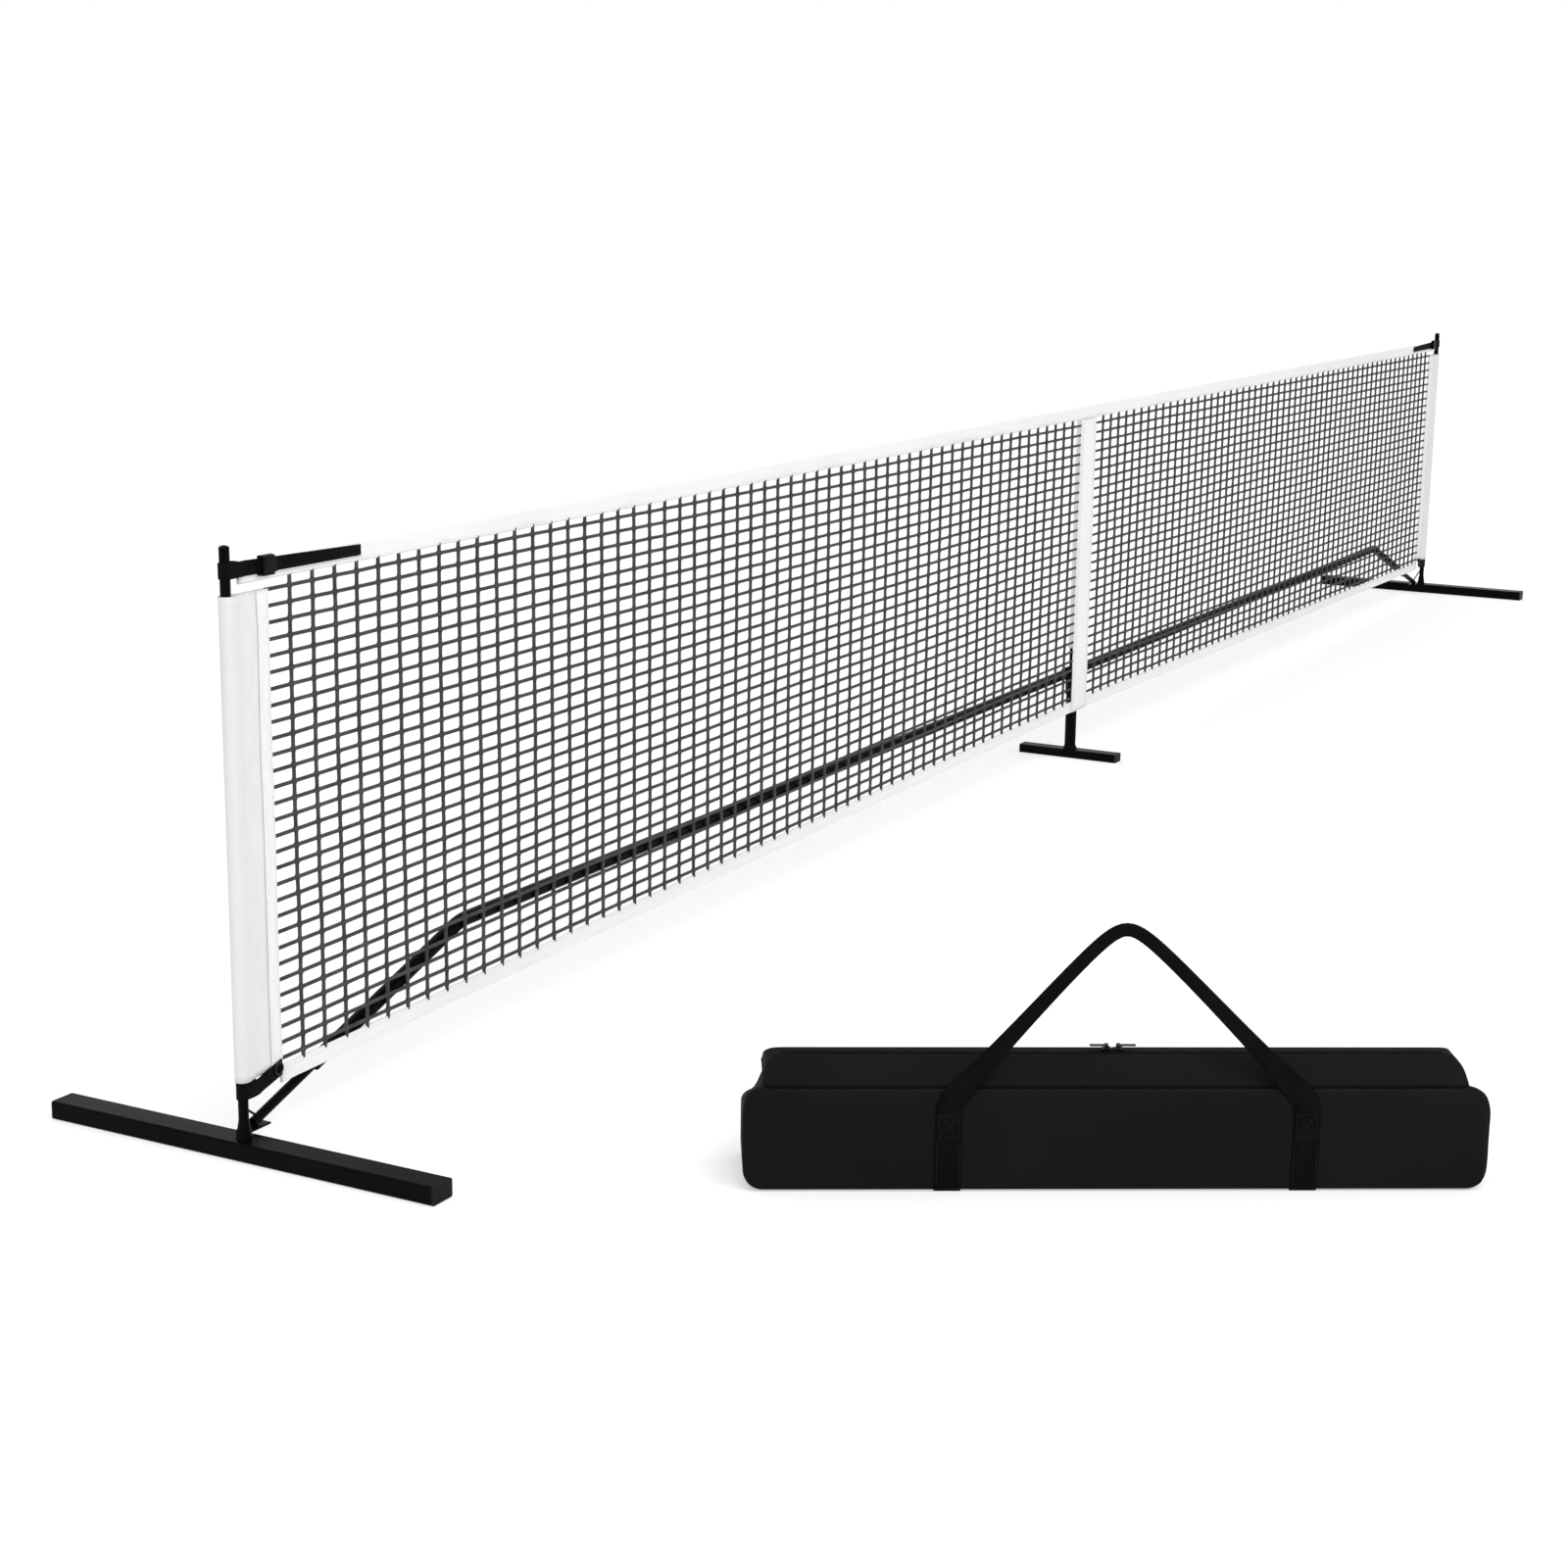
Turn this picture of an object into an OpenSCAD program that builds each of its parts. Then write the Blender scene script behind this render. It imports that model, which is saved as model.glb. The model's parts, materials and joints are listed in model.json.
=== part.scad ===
// Portable pickleball net: steel knock-down frame, lift-off net and zipped carry bag.
// Millimetres, +Z up. X runs along the net, the origin is on the court under the net's centre.

/* [Court] */
// Distance between the two end posts, centre to centre
post_span = 6706; // [5200:1:7400]
// Height of the net's top edge above the court
net_top_h = 914; // [840:1:1000]
// Height of the end posts' tops, caps left out
post_top_h = 940; // [930:1:1100]

/* [Bases] */
// Length of each end base bar, across the net
end_bar_len = 730; // [400:1:1200]
// Width of the end base bars
end_bar_w = 50; // [40:1:70]
// Height of the end base bars
end_bar_h = 30; // [24:1:40]
// Length of the centre base bar, across the net
centre_bar_len = 260; // [200:1:600]
// Width of the centre base bar
centre_bar_w = 40; // [34:1:60]
// Height of the centre base bar
centre_bar_h = 22; // [20:1:40]
// Wall of the rectangular bars
bar_wall = 1.5; // [1:0.1:2.5]
// Corner radius of the rectangular bars
bar_r = 4; // [2:0.1:6]
// Thickness of a bar's end cap outside the bar
bar_cap_t = 4; // [2:0.1:8]
// Length of a bar's end cap inside the bar
bar_plug_len = 18; // [8:1:30]

/* [Tubes] */
// Outside diameter of the end posts
post_od = 16; // [15:0.1:19]
// Outside diameter of the rails and the bent tubes
rail_od = 25.4; // [23:0.1:27]
// Outside diameter of the leg struts
strut_od = 16; // [14:0.1:18]
// Outside diameter of the centre post below the tee
centre_od = 28.6; // [26:0.1:32]
// Outside diameter of the centre post above the tee
centre_upper_od = 19; // [17:0.1:20]
// Wall of every round tube
tube_wall = 1.2; // [1:0.1:1.6]
// Height of the joint between lower and upper end post
post_joint_h = 420; // [250:1:600]
// How far one tube reaches into the next
spigot_len = 50; // [35:1:70]
// Height of the rails' axis above the court
rail_h = 227; // [180:1:300]
// Distance of the rails' plane behind the net
rail_y = 17; // [16:0.5:30]

/* [Legs] */
// Distance from post to the foot of the leg strut
leg_foot_u = 60; // [50:1:90]
// Height of the strut's axis at its foot
leg_foot_h = 45; // [44:1:52]
// Distance from post to where the bent tube begins
leg_joint_u = 193; // [160:1:260]
// Distance from post to the bend
bend_u = 600; // [450:1:800]
// Length of the bent tube's level part
bent_tail = 680; // [300:1:800]
// Radius of the bend on the tube's axis
bend_r = 120; // [60:1:200]
// Thickness of the strut's foot plate
foot_plate_t = 3; // [2:0.1:5]
// Diameter of the brace wires
wire_d = 4; // [3:0.1:6]

/* [Net] */
// Distance from post to where the mesh begins
sleeve_w = 91; // [70:1:140]
// Distance of the side sleeves' upper edge below the net's top edge
sleeve_drop = 46; // [40:1:60]
// Height of the side sleeves' lower edge
sleeve_bottom_h = 121; // [120:1:180]
// Height of the white band along the top
top_band_h = 32; // [28:1:60]
// Height of the white band along the bottom
hem_h = 29; // [25:1:60]
// Height of the bottom edge at the sleeves
hem_bottom_h = 91; // [70:1:110]
// Rise of the bottom edge from the sleeves to the centre
hem_rise = 36; // [0:1:60]
// Width of the white centre band
centre_band_w = 100; // [96:1:140]
// Thickness of the mesh and of the bottom band
mesh_t = 3; // [2:0.1:4]
// Width of the solid strips between the mesh gaps
mesh_strip = 9; // [5:0.5:16]
// Gaps along each half of the mesh
mesh_cols = 25; // [8:1:25]
// Gaps up each half of the mesh
mesh_rows = 6; // [3:1:6]
// Diameter of the cable in the top band
cable_d = 4.6; // [3:0.1:5]

/* [Straps] */
// Thickness of the webbing
web_t = 1.8; // [1.2:0.1:2.4]
// Length of each top strap from the post
top_strap_len = 318; // [160:1:500]
// Height of the top strap at the post
top_strap_h = 23; // [22:1:30]
// Height of the top strap at its sewn end
top_strap_end_h = 14; // [10:1:24]
// Length of each bottom strap from the post
bottom_strap_len = 86; // [60:1:90]
// Height of the bottom strap
bottom_strap_h = 26; // [20:1:28]
// Rise of the bottom strap along its length
bottom_strap_rise = 15; // [0:1:16]
// Length of a buckle along the strap
buckle_len = 32; // [28:1:40]
// Distance from post to the buckle
buckle_u = 66; // [50:1:120]

/* [Snap buttons] */
// Diameter of a snap button
button_d = 5; // [4:0.1:6]
// How far a button stands out of its tube
button_out = 2.4; // [1.5:0.1:2.6]

/* [Bag] */
// Length of the bag
bag_len = 1120; // [900:1:1400]
// Depth of the bag
bag_d = 170; // [150:1:240]
// Height of the bag's lower part
bag_low_h = 157; // [130:1:200]
// Height of the bag's top part
bag_top_part_h = 34; // [30:1:60]
// How much shorter the top part is at each end
bag_top_step = 32; // [10:1:50]
// Depth of the flat ridge that carries the zip
bag_ridge_d = 32; // [30:1:60]
// Radius of the bag's corners seen from the front
bag_corner_r = 30; // [15:1:40]
// Thickness of the bag's padded walls
bag_wall = 4; // [2:0.1:6]
// Width of the handle webbing
handle_w = 40; // [30:1:50]
// Half of the distance between a handle's two ends
handle_half = 268; // [200:1:320]
// Height of a handle above its sewn part
handle_rise = 256; // [180:1:320]
// Shift of the handles along the bag
handle_shift = 14; // [-30:1:30]
// Width of the zip's tape
zip_w = 26; // [22:1:34]
// Bag's place along the net
bag_x = -2743; // [-3200:1:3200]
// Bag's place across the net
bag_y = -1173; // [-2000:1:-900]
// Turn of the bag about the vertical
bag_turn = -59.7; // [-90:0.05:0]

/* [Hidden] */

$fn = 64;

slip = 0.3;      // gap between pieces that seat on each other
slide_fit = 0.2; // radial gap of a spigot in its tube
run_fit = 0.06;  // radial gap of a pin in its hole
over = 1;        // how far a cutting tool reaches past a face

post_x = post_span / 2;
post_r = post_od / 2;
rail_r = rail_od / 2;
strut_r = strut_od / 2;
centre_r = centre_od / 2;
centre_upper_r = centre_upper_od / 2;

leg_angle = atan((rail_h - leg_foot_h) / (bend_u - leg_foot_u));
bend_tangent = bend_r * tan(leg_angle / 2);
leg_len = (bend_u - leg_foot_u) / cos(leg_angle);
bend_draw = 0.05; // how much the bend draws the tube in
leg_joint_s = (leg_joint_u - leg_foot_u) / cos(leg_angle);
leg_button_s = leg_joint_s + spigot_len * 0.8;
leg_spigot_len = spigot_len * 1.6;
foot_cut_u = leg_foot_u - 20;
foot_plate_out = 10;
foot_plate_side = 4;

tee_r = rail_r + slip + 3;
mesh_in_x = centre_band_w / 2 - 3;
tee_half = mesh_in_x - 1; // the net's inner edges pass the tee as it lifts
tee_web = 4;
tee_socket_r = centre_r + slip + 2.4;
tee_socket_len = 60;
tee_spigot_r = centre_upper_r - tube_wall - slide_fit;
tee_spigot_bore_r = tee_spigot_r - 2.4;
tee_spigot_len = 78;
centre_button_h = rail_h + 50;
centre_upper_start_h = rail_h + tee_r + slip;

rail_run = post_x - bend_u - bent_tail - tee_web - slip;
rail_len = rail_run / 2;

weld_h = 10;
post_boot_h = 30;
weld_out = 5;

cap_t = 3;
cap_plug = 15;

post_button_h = post_joint_h + spigot_len / 2;
post_spigot_r = post_r - tube_wall - slide_fit;
post_spigot_bore_r = post_spigot_r - 1.4;
head_r = 3.4;
head_t = 2;
leaf_t = 0.6;
leaf_w = 5;
leaf_len = 34;

mesh_top_h = net_top_h - top_band_h;
sleeve_top_h = net_top_h - sleeve_drop;
mesh_out_u = sleeve_w;
hem_gap = 0.2;
band_t = 7;
band_end_u = 28;
cable_bore_d = cable_d + 0.6;
cable_h = net_top_h - band_t / 2 - 1;
sleeve_skin = 2.3;
sleeve_bore_r = post_r + 1.2;
sleeve_relief_u = post_r + button_out + 3.5;
sleeve_seam_t = 6;
plate_t = 2;
pocket_bore_r = centre_upper_r + 0.8;
pocket_skin = 2;
pocket_bottom_h = rail_h + 62;
centre_cap_top_h = mesh_top_h - 5;
pocket_top_t = 2;

loop_r = post_r + 0.4;
loop_u = 16;
strap_clear = 2 * (loop_r + web_t);
strap_top_y = band_t / 2 + 0.5 + web_t / 2;
strap_bottom_y = 7;
strap_turn_u = 40;
top_strap_mid_h = net_top_h - 8.5;
top_strap_end_mid_h = top_strap_mid_h - 5;
bottom_strap_mid_h = sleeve_bottom_h - 2 - bottom_strap_h / 2;
ring_big_r = 9;
ring_wire_r = 1.6;

buckle_plate_t = 2;
ear_t = 3;
buckle_h = top_strap_h + 2 * ear_t + 1;
ear_out = 9;
buckle_back_y = strap_top_y + web_t / 2 + slip;
cam_r = 3.6;
cam_pin_r = 2;
cam_u = buckle_u + 9;
cam_y = buckle_back_y + buckle_plate_t + 0.8 + cam_r;
lever_t = 2.6;
lever_end_u = buckle_u + buckle_len + 2;

bag_edge_r = 14;
bag_lift = 2;
bag_base_h = bag_lift;
bag_low_top = bag_lift + bag_low_h;
bag_top_h = bag_low_top + bag_top_part_h;
bag_top_slope = (bag_d - 2 * bag_edge_r - bag_ridge_d) / 2;
bag_top_r = 22;
handle_base_h = bag_low_top - bag_edge_r * 0.6;
handle_t = 1.6;
handle_gap = 0.2;
handle_lean = asin((bag_d / 2 + handle_gap - slip) / handle_rise);
handle_hinge_y = handle_t + handle_gap + slip / 2;
handle_hinge_h = handle_base_h + handle_gap - slip;
handle_reach = handle_rise + handle_hinge_y;
handle_fold = handle_lean + acos(-(handle_hinge_h - handle_t - slip) / handle_reach); // down to the floor
zip_t = 1.6;
zip_len = bag_len - 2 * bag_top_step - 2 * bag_top_r - 10;
slider_len = 14;
slider_w = 10;
slider_h = 5;
slider_off = 9;
pull_len = 26;
pull_w = 8;
pull_t = 1.6;
pull_pin_r = 1.1;
pull_ear_t = 1.4;
pull_axis_h = bag_top_h + zip_t + slip + slider_h + 1.9;

steel = [0.05, 0.05, 0.055];
plastic = [0.03, 0.03, 0.03];
white_cloth = [0.93, 0.93, 0.94];
twine = [0.2, 0.2, 0.21];
webbing = [0.02, 0.02, 0.02];
bag_cloth = [0.09, 0.09, 0.095];
zinc = [0.62, 0.63, 0.65];

// Height of the net's bottom edge at a distance x from the centre.
function hem_at(x) = hem_bottom_h + hem_rise * (1 - abs(x) / (post_x - mesh_out_u));

// Draws its children at one end of the net, with +X pointing from the post to the centre.
module at_end(side) {
  if (side < 0) translate([-post_x, 0, 0]) children();
  else mirror([1, 0, 0]) translate([-post_x, 0, 0]) children();
}

// Turns the leg's own axis, with +X along the strut from its foot, into place.
module along_leg() {
  translate([leg_foot_u, rail_y, leg_foot_h]) rotate([0, -leg_angle, 0]) children();
}

module rod_x(x0, x1, r) {
  translate([x0, 0, 0]) rotate([0, 90, 0]) cylinder(h = x1 - x0, r = r);
}

module tube_x(x0, x1, r, wall) {
  difference() {
    rod_x(x0, x1, r);
    rod_x(x0 - over, x1 + over, r - wall);
  }
}

module tube_z(z0, z1, r, wall) {
  translate([0, 0, z0]) difference() {
    cylinder(h = z1 - z0, r = r);
    translate([0, 0, -over]) cylinder(h = z1 - z0 + 2 * over, r = r - wall);
  }
}

// A rectangle with round corners, centred on X and standing on Y = 0.
module round_rect(w, h, r) {
  translate([-w / 2 + r, 0]) square([w - 2 * r, h]);
  translate([-w / 2, r]) square([w, h - 2 * r]);
  for (x = [-w / 2 + r, w / 2 - r]) {
    for (y = [r, h - r]) {
      translate([x, y]) circle(r);
    }
  }
}

// Extrudes a shape drawn in X and Z along Y, from y0 to y1.
module across(y0, y1) {
  translate([0, y1, 0]) rotate([90, 0, 0]) linear_extrude(height = y1 - y0) children();
}

module base_bar(len, w, h) {
  across(-len / 2, len / 2) difference() {
    round_rect(w, h, bar_r);
    translate([0, bar_wall]) round_rect(w - 2 * bar_wall, h - 2 * bar_wall, bar_r - bar_wall);
  }
}

// The two end caps of a bar: an outer pad and a plug inside the bar.
module bar_caps(len, w, h) {
  inset = bar_wall + slip;
  for (s = [-1, 1]) {
    mirror([0, s < 0 ? 1 : 0, 0]) {
      across(len / 2 + slip, len / 2 + slip + bar_cap_t) round_rect(w, h, bar_r);
      across(len / 2 - bar_plug_len, len / 2 + slip + over) {
        translate([0, inset]) round_rect(w - 2 * inset, h - 2 * inset, bar_r - bar_wall);
      }
    }
  }
}

// The hole that a snap button needs in a tube, along +X.
module button_hole(r) {
  rod_x(0, r + over, button_d / 2 + 0.1);
}

// A snap button along +X: a round-nosed pin and its head inside a bore.
module snap_button(tube_r, bore_r) {
  head_x = sqrt(bore_r * bore_r - head_r * head_r) - slide_fit;
  tip_x = tube_r + button_out;
  r = button_d / 2;
  rotate([0, 90, 0]) rotate_extrude() {
    polygon([[0, head_x - head_t], [head_r, head_x - head_t], [head_r, head_x], [r, head_x],
             [r, tip_x - r * 0.56], [r * 0.85, tip_x - r * 0.24], [r * 0.5, tip_x - r * 0.04],
             [0, tip_x]]);
  }
}

// The leaf spring behind a snap button, with its tube along Z and its anchor at the far wall.
module leaf_spring(bore_r) {
  back = -sqrt(bore_r * bore_r - leaf_w * leaf_w / 4) + slide_fit;
  head_x = sqrt(bore_r * bore_r - head_r * head_r) - slide_fit;
  front = head_x - head_t - button_out - leaf_t - 0.5;
  translate([0, leaf_w / 2, 0]) rotate([90, 0, 0]) linear_extrude(height = leaf_w) {
    polygon([[back, -leaf_len], [back, 6], [back + leaf_t, 6], [back + leaf_t, -leaf_len]]);
    polygon([[back, -leaf_len], [front, 2], [front + leaf_t, 2], [back + leaf_t, -leaf_len]]);
  }
}

module post_lower() {
  difference() {
    union() {
      tube_z(end_bar_h, post_joint_h, post_r, tube_wall);
      translate([0, 0, end_bar_h]) cylinder(h = post_boot_h, r1 = post_r + weld_out, r2 = post_r);
      tube_z(post_joint_h - spigot_len, post_joint_h + spigot_len, post_spigot_r, 1.4);
      tube_z(post_joint_h - spigot_len, post_joint_h - spigot_len + 6, post_r - 0.4, tube_wall + 1);
    }
    translate([0, 0, end_bar_h - over]) {
      cylinder(h = post_joint_h - spigot_len - end_bar_h, r = post_r - tube_wall);
    }
    translate([0, 0, post_button_h]) button_hole(post_r);
  }
}

module post_upper() {
  difference() {
    tube_z(post_joint_h + slip, post_top_h, post_r, tube_wall);
    translate([0, 0, post_button_h]) button_hole(post_r);
  }
}

// A tube's closing cap: a low dome on a plug.
module tube_cap(r, top) {
  intersection() {
    translate([0, 0, top + slip]) cylinder(h = cap_t, r = r);
    translate([0, 0, top + slip + cap_t - r * 1.6]) sphere(r * 1.6);
  }
  translate([0, 0, top - cap_plug]) {
    cylinder(h = cap_plug + slip + over, r = r - tube_wall - slide_fit);
  }
}

module centre_post_lower() {
  translate([0, rail_y, 0]) difference() {
    union() {
      tube_z(centre_bar_h, rail_h - tee_r - slip, centre_r, tube_wall * 1.5);
      translate([0, 0, centre_bar_h]) {
        cylinder(h = weld_h, r1 = centre_r + weld_out, r2 = centre_r);
      }
    }
    translate([0, 0, centre_bar_h - over]) cylinder(h = weld_h + 2 * over, r = centre_r - 2);
  }
}

module centre_tee() {
  translate([0, rail_y, rail_h]) difference() {
    union() {
      rod_x(-tee_half, tee_half, tee_r);
      translate([0, 0, -tee_socket_len]) cylinder(h = tee_socket_len, r = tee_socket_r);
      cylinder(h = tee_spigot_len, r = tee_spigot_r);
    }
    rod_x(tee_web, tee_half + over, rail_r + slip);
    rod_x(-tee_half - over, -tee_web, rail_r + slip);
    translate([0, 0, -tee_socket_len - over]) {
      cylinder(h = tee_socket_len + over - tee_r, r = centre_r + slip);
    }
    translate([0, 0, tee_r]) cylinder(h = tee_spigot_len, r = tee_spigot_bore_r);
    translate([0, 0, centre_button_h - rail_h]) rotate([0, 0, 90]) button_hole(centre_upper_r);
  }
}

module centre_post_upper() {
  translate([0, rail_y, 0]) difference() {
    tube_z(centre_upper_start_h, centre_cap_top_h - cap_t - slip, centre_upper_r, tube_wall);
    translate([0, 0, centre_button_h]) rotate([0, 0, 90]) button_hole(centre_upper_r);
  }
}

// The strut, its wide spigot inside the bent tube and its foot plate, welded to the base bar's edge.
module leg_strut() {
  spigot_r = rail_r - tube_wall - slip;
  plate_z = end_bar_h;
  plate_u = post_r + weld_out + 1.5;
  plate_w = 2 * (strut_r + foot_plate_side);
  translate([plate_u, rail_y - plate_w / 2, plate_z]) {
    cube([leg_foot_u + foot_plate_out - plate_u, plate_w, foot_plate_t]);
  }
  difference() {
    along_leg() difference() {
      union() {
        rod_x(-60, leg_joint_s + over, strut_r);
        rod_x(leg_joint_s, leg_joint_s + leg_spigot_len, spigot_r);
      }
      rod_x(-60 - over, leg_joint_s + leg_spigot_len + over, strut_r - tube_wall);
      translate([leg_button_s, 0, 0]) rotate([0, 0, 90]) button_hole(rail_r);
    }
    translate([-leg_len, 0, -leg_len]) cube([leg_len + foot_cut_u, leg_len, 2 * leg_len]);
    translate([-leg_len, 0, -leg_len]) {
      cube([2 * leg_len, leg_len, leg_len + plate_z + foot_plate_t / 2]);
    }
  }
}

// A wire from the post to the foot of the strut.
module brace_wire() {
  start_r = post_r + wire_d * 0.37;
  from = [start_r * cos(39), start_r * sin(39), end_bar_h + 46];
  back = 14;
  to = [leg_foot_u - back, rail_y - 3, leg_foot_h - back * tan(leg_angle) + strut_r + wire_d * 0.3];
  d = to - from;
  translate(from) rotate([0, 90 - atan2(d[2], norm([d[0], d[1]])), atan2(d[1], d[0])]) {
    cylinder(h = norm(d), r = wire_d / 2, $fn = 24);
  }
}

// The bent tube's shape at a radius: along the strut, round the bend and level to its end.
module bent_rod(r, extra) {
  along_leg() rod_x(leg_joint_s + slip - extra, leg_len - bend_tangent, r);
  translate([bend_u + bend_tangent, rail_y, rail_h - bend_r]) rotate([90, 0, 0]) {
    rotate([0, 0, 90]) rotate_extrude(angle = leg_angle) {
      translate([bend_r, 0]) circle(r - bend_draw);
    }
  }
  translate([0, rail_y, rail_h]) rod_x(bend_u + bend_tangent, bend_u + bent_tail + extra, r);
}

module bent_tube() {
  difference() {
    bent_rod(rail_r, 0);
    bent_rod(rail_r - tube_wall, over);
    along_leg() translate([leg_button_s, 0, 0]) rotate([0, 0, 90]) button_hole(rail_r);
  }
}

// A rail with a spigot at its outer end, drawn from the shoulder at u0.
module rail(u0, len) {
  spigot_r = rail_r - tube_wall - slip;
  translate([u0, rail_y, rail_h]) difference() {
    union() {
      rod_x(slip, len, rail_r);
      rod_x(-spigot_len, slip + over, spigot_r);
    }
    rod_x(-spigot_len - over, len + over, spigot_r - tube_wall);
    rod_x(over * 4, len + over, rail_r - tube_wall);
  }
}

module half_mesh() {
  x0 = -post_x + mesh_out_u;
  x1 = -mesh_in_x;
  pitch = (x1 - x0 - mesh_strip) / mesh_cols;
  function edge_at(x) = hem_at(x) + hem_h + hem_gap;
  function level(x, k) = edge_at(x) + (mesh_top_h - edge_at(x) - mesh_strip) * k / mesh_rows;
  across(-mesh_t / 2, mesh_t / 2) difference() {
    polygon([[x0, edge_at(x0)], [x1, edge_at(x1)], [x1, mesh_top_h], [x0, mesh_top_h]]);
    for (i = [0 : mesh_cols - 1]) {
      a = x0 + mesh_strip + i * pitch;
      b = x0 + (i + 1) * pitch;
      for (k = [0 : mesh_rows - 1]) {
        polygon([[a, level(a, k) + mesh_strip], [b, level(b, k) + mesh_strip],
                 [b, level(b, k + 1)], [a, level(a, k + 1)]]);
      }
    }
  }
}

module top_band() {
  len = 2 * (post_x - band_end_u);
  difference() {
    translate([-len / 2, -band_t / 2, mesh_top_h]) cube([len, band_t, top_band_h]);
    translate([0, 0, cable_h]) rod_x(-len / 2 - over, len / 2 + over, cable_bore_d / 2);
  }
}

module top_cable() {
  end = post_x - band_end_u;
  translate([0, 0, cable_h]) rod_x(-end, end, cable_d / 2);
}

module bottom_band() {
  x0 = post_x - mesh_out_u;
  x1 = mesh_in_x;
  for (s = [-1, 1]) {
    across(-mesh_t / 2, mesh_t / 2) {
      polygon([[s * x0, hem_at(x0)], [s * x1, hem_at(x1)],
               [s * x1, hem_at(x1) + hem_h], [s * x0, hem_at(x0) + hem_h]]);
    }
  }
}

// A side sleeve: a round pocket over the post that flattens into the seam with the mesh.
module sleeve() {
  r = sleeve_bore_r + sleeve_skin;
  flat_u = sleeve_w * 0.36;
  translate([0, 0, sleeve_bottom_h]) linear_extrude(height = sleeve_top_h - sleeve_bottom_h) {
    difference() {
      union() {
        circle(r);
        polygon([[0, -r], [flat_u, -sleeve_seam_t * 0.8], [sleeve_w, -sleeve_seam_t / 2],
                 [sleeve_w, sleeve_seam_t / 2], [flat_u, sleeve_seam_t * 0.8], [0, r]]);
      }
      circle(sleeve_bore_r);
      translate([0, -button_d / 2 - 1.2]) square([sleeve_relief_u, button_d + 2.4]);
    }
  }
}

// The centre band: a flat front with a pocket behind it that stands on the centre post.
module centre_band() {
  plate_back = -mesh_t / 2 - hem_gap;
  r = pocket_bore_r + pocket_skin;
  bottom = hem_at(0);
  translate([-centre_band_w / 2, plate_back - plate_t, bottom]) {
    cube([centre_band_w, plate_t, mesh_top_h - bottom]);
  }
  difference() {
    translate([0, 0, pocket_bottom_h]) {
      linear_extrude(height = centre_cap_top_h + slip + pocket_top_t - pocket_bottom_h) {
        translate([0, rail_y]) circle(r);
        translate([-r, plate_back - plate_t / 2]) square([2 * r, rail_y - plate_back + plate_t / 2]);
      }
    }
    translate([0, 0, pocket_bottom_h - over]) {
      linear_extrude(height = centre_cap_top_h + slip + over - pocket_bottom_h) {
        translate([0, rail_y]) circle(pocket_bore_r);
        translate([-pocket_bore_r, plate_back]) square([2 * pocket_bore_r, rail_y - plate_back]);
      }
    }
  }
}

// Outline of a strap seen from above: a loop round the post and a tail in front of the net.
module strap_outline(tail_y, len) {
  difference() {
    union() {
      circle(loop_r + web_t);
      translate([0, -loop_r - web_t]) square([loop_u, 2 * (loop_r + web_t)]);
      translate([loop_u, 0]) circle(loop_r + web_t);
    }
    circle(loop_r);
    translate([0, -loop_r]) square([loop_u, 2 * loop_r]);
    translate([loop_u, 0]) circle(loop_r);
  }
  polygon([[loop_u - 2, -loop_r - web_t], [strap_turn_u, -tail_y - web_t / 2],
           [strap_turn_u, -tail_y + web_t / 2], [loop_u, -loop_r]]);
  translate([strap_turn_u - 0.5, -tail_y - web_t / 2]) square([len - strap_turn_u + 0.5, web_t]);
}

module top_strap() {
  m0 = top_strap_mid_h;
  m1 = top_strap_end_mid_h;
  intersection() {
    translate([0, 0, m0 - top_strap_h]) linear_extrude(height = 2 * top_strap_h) {
      strap_outline(strap_top_y, top_strap_len);
    }
    across(-strap_clear, strap_clear) {
      polygon([[-strap_clear, m0 - top_strap_h / 2], [loop_u + 12, m0 - top_strap_h / 2],
               [top_strap_len + 1, m1 - top_strap_end_h / 2],
               [top_strap_len + 1, m1 + top_strap_end_h / 2],
               [loop_u + 12, m0 + top_strap_h / 2], [-strap_clear, m0 + top_strap_h / 2]]);
    }
  }
}

module bottom_strap() {
  h = bottom_strap_mid_h;
  half = bottom_strap_h / 2;
  end = bottom_strap_len;
  intersection() {
    translate([0, 0, h - bottom_strap_h]) {
      linear_extrude(height = 2 * bottom_strap_h + bottom_strap_rise) strap_outline(strap_bottom_y, end);
    }
    across(-strap_clear, strap_clear) {
      polygon([[-strap_clear, h - half], [loop_u + 12, h - half], [end + 1, h - half + bottom_strap_rise],
               [end + 1, h + half + bottom_strap_rise], [loop_u + 12, h + half], [-strap_clear, h + half]]);
    }
  }
}

module corner_ring() {
  y = strap_bottom_y + web_t / 2 + slip + ring_wire_r;
  z = bottom_strap_mid_h + bottom_strap_rise;
  translate([bottom_strap_len - ring_big_r - ring_wire_r, -y, z]) rotate([90, 0, 0]) {
    rotate_extrude() translate([ring_big_r, 0]) circle(ring_wire_r, $fn = 24);
  }
}

// A buckle's back plate and its two ears, with the holes for the cam's pins.
module buckle_frame() {
  bottom = top_strap_mid_h - buckle_h / 2;
  difference() {
    union() {
      translate([buckle_u, -buckle_back_y - buckle_plate_t, bottom]) {
        cube([buckle_len, buckle_plate_t, buckle_h]);
      }
      for (z = [bottom, bottom + buckle_h - ear_t]) {
        translate([buckle_u + 2, -buckle_back_y - buckle_plate_t - ear_out, z]) {
          cube([buckle_len - 6, ear_out + buckle_plate_t, ear_t]);
        }
      }
    }
    translate([cam_u, -cam_y, bottom - over]) {
      cylinder(h = buckle_h + 2 * over, r = cam_pin_r + run_fit, $fn = 48);
    }
  }
}

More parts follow.
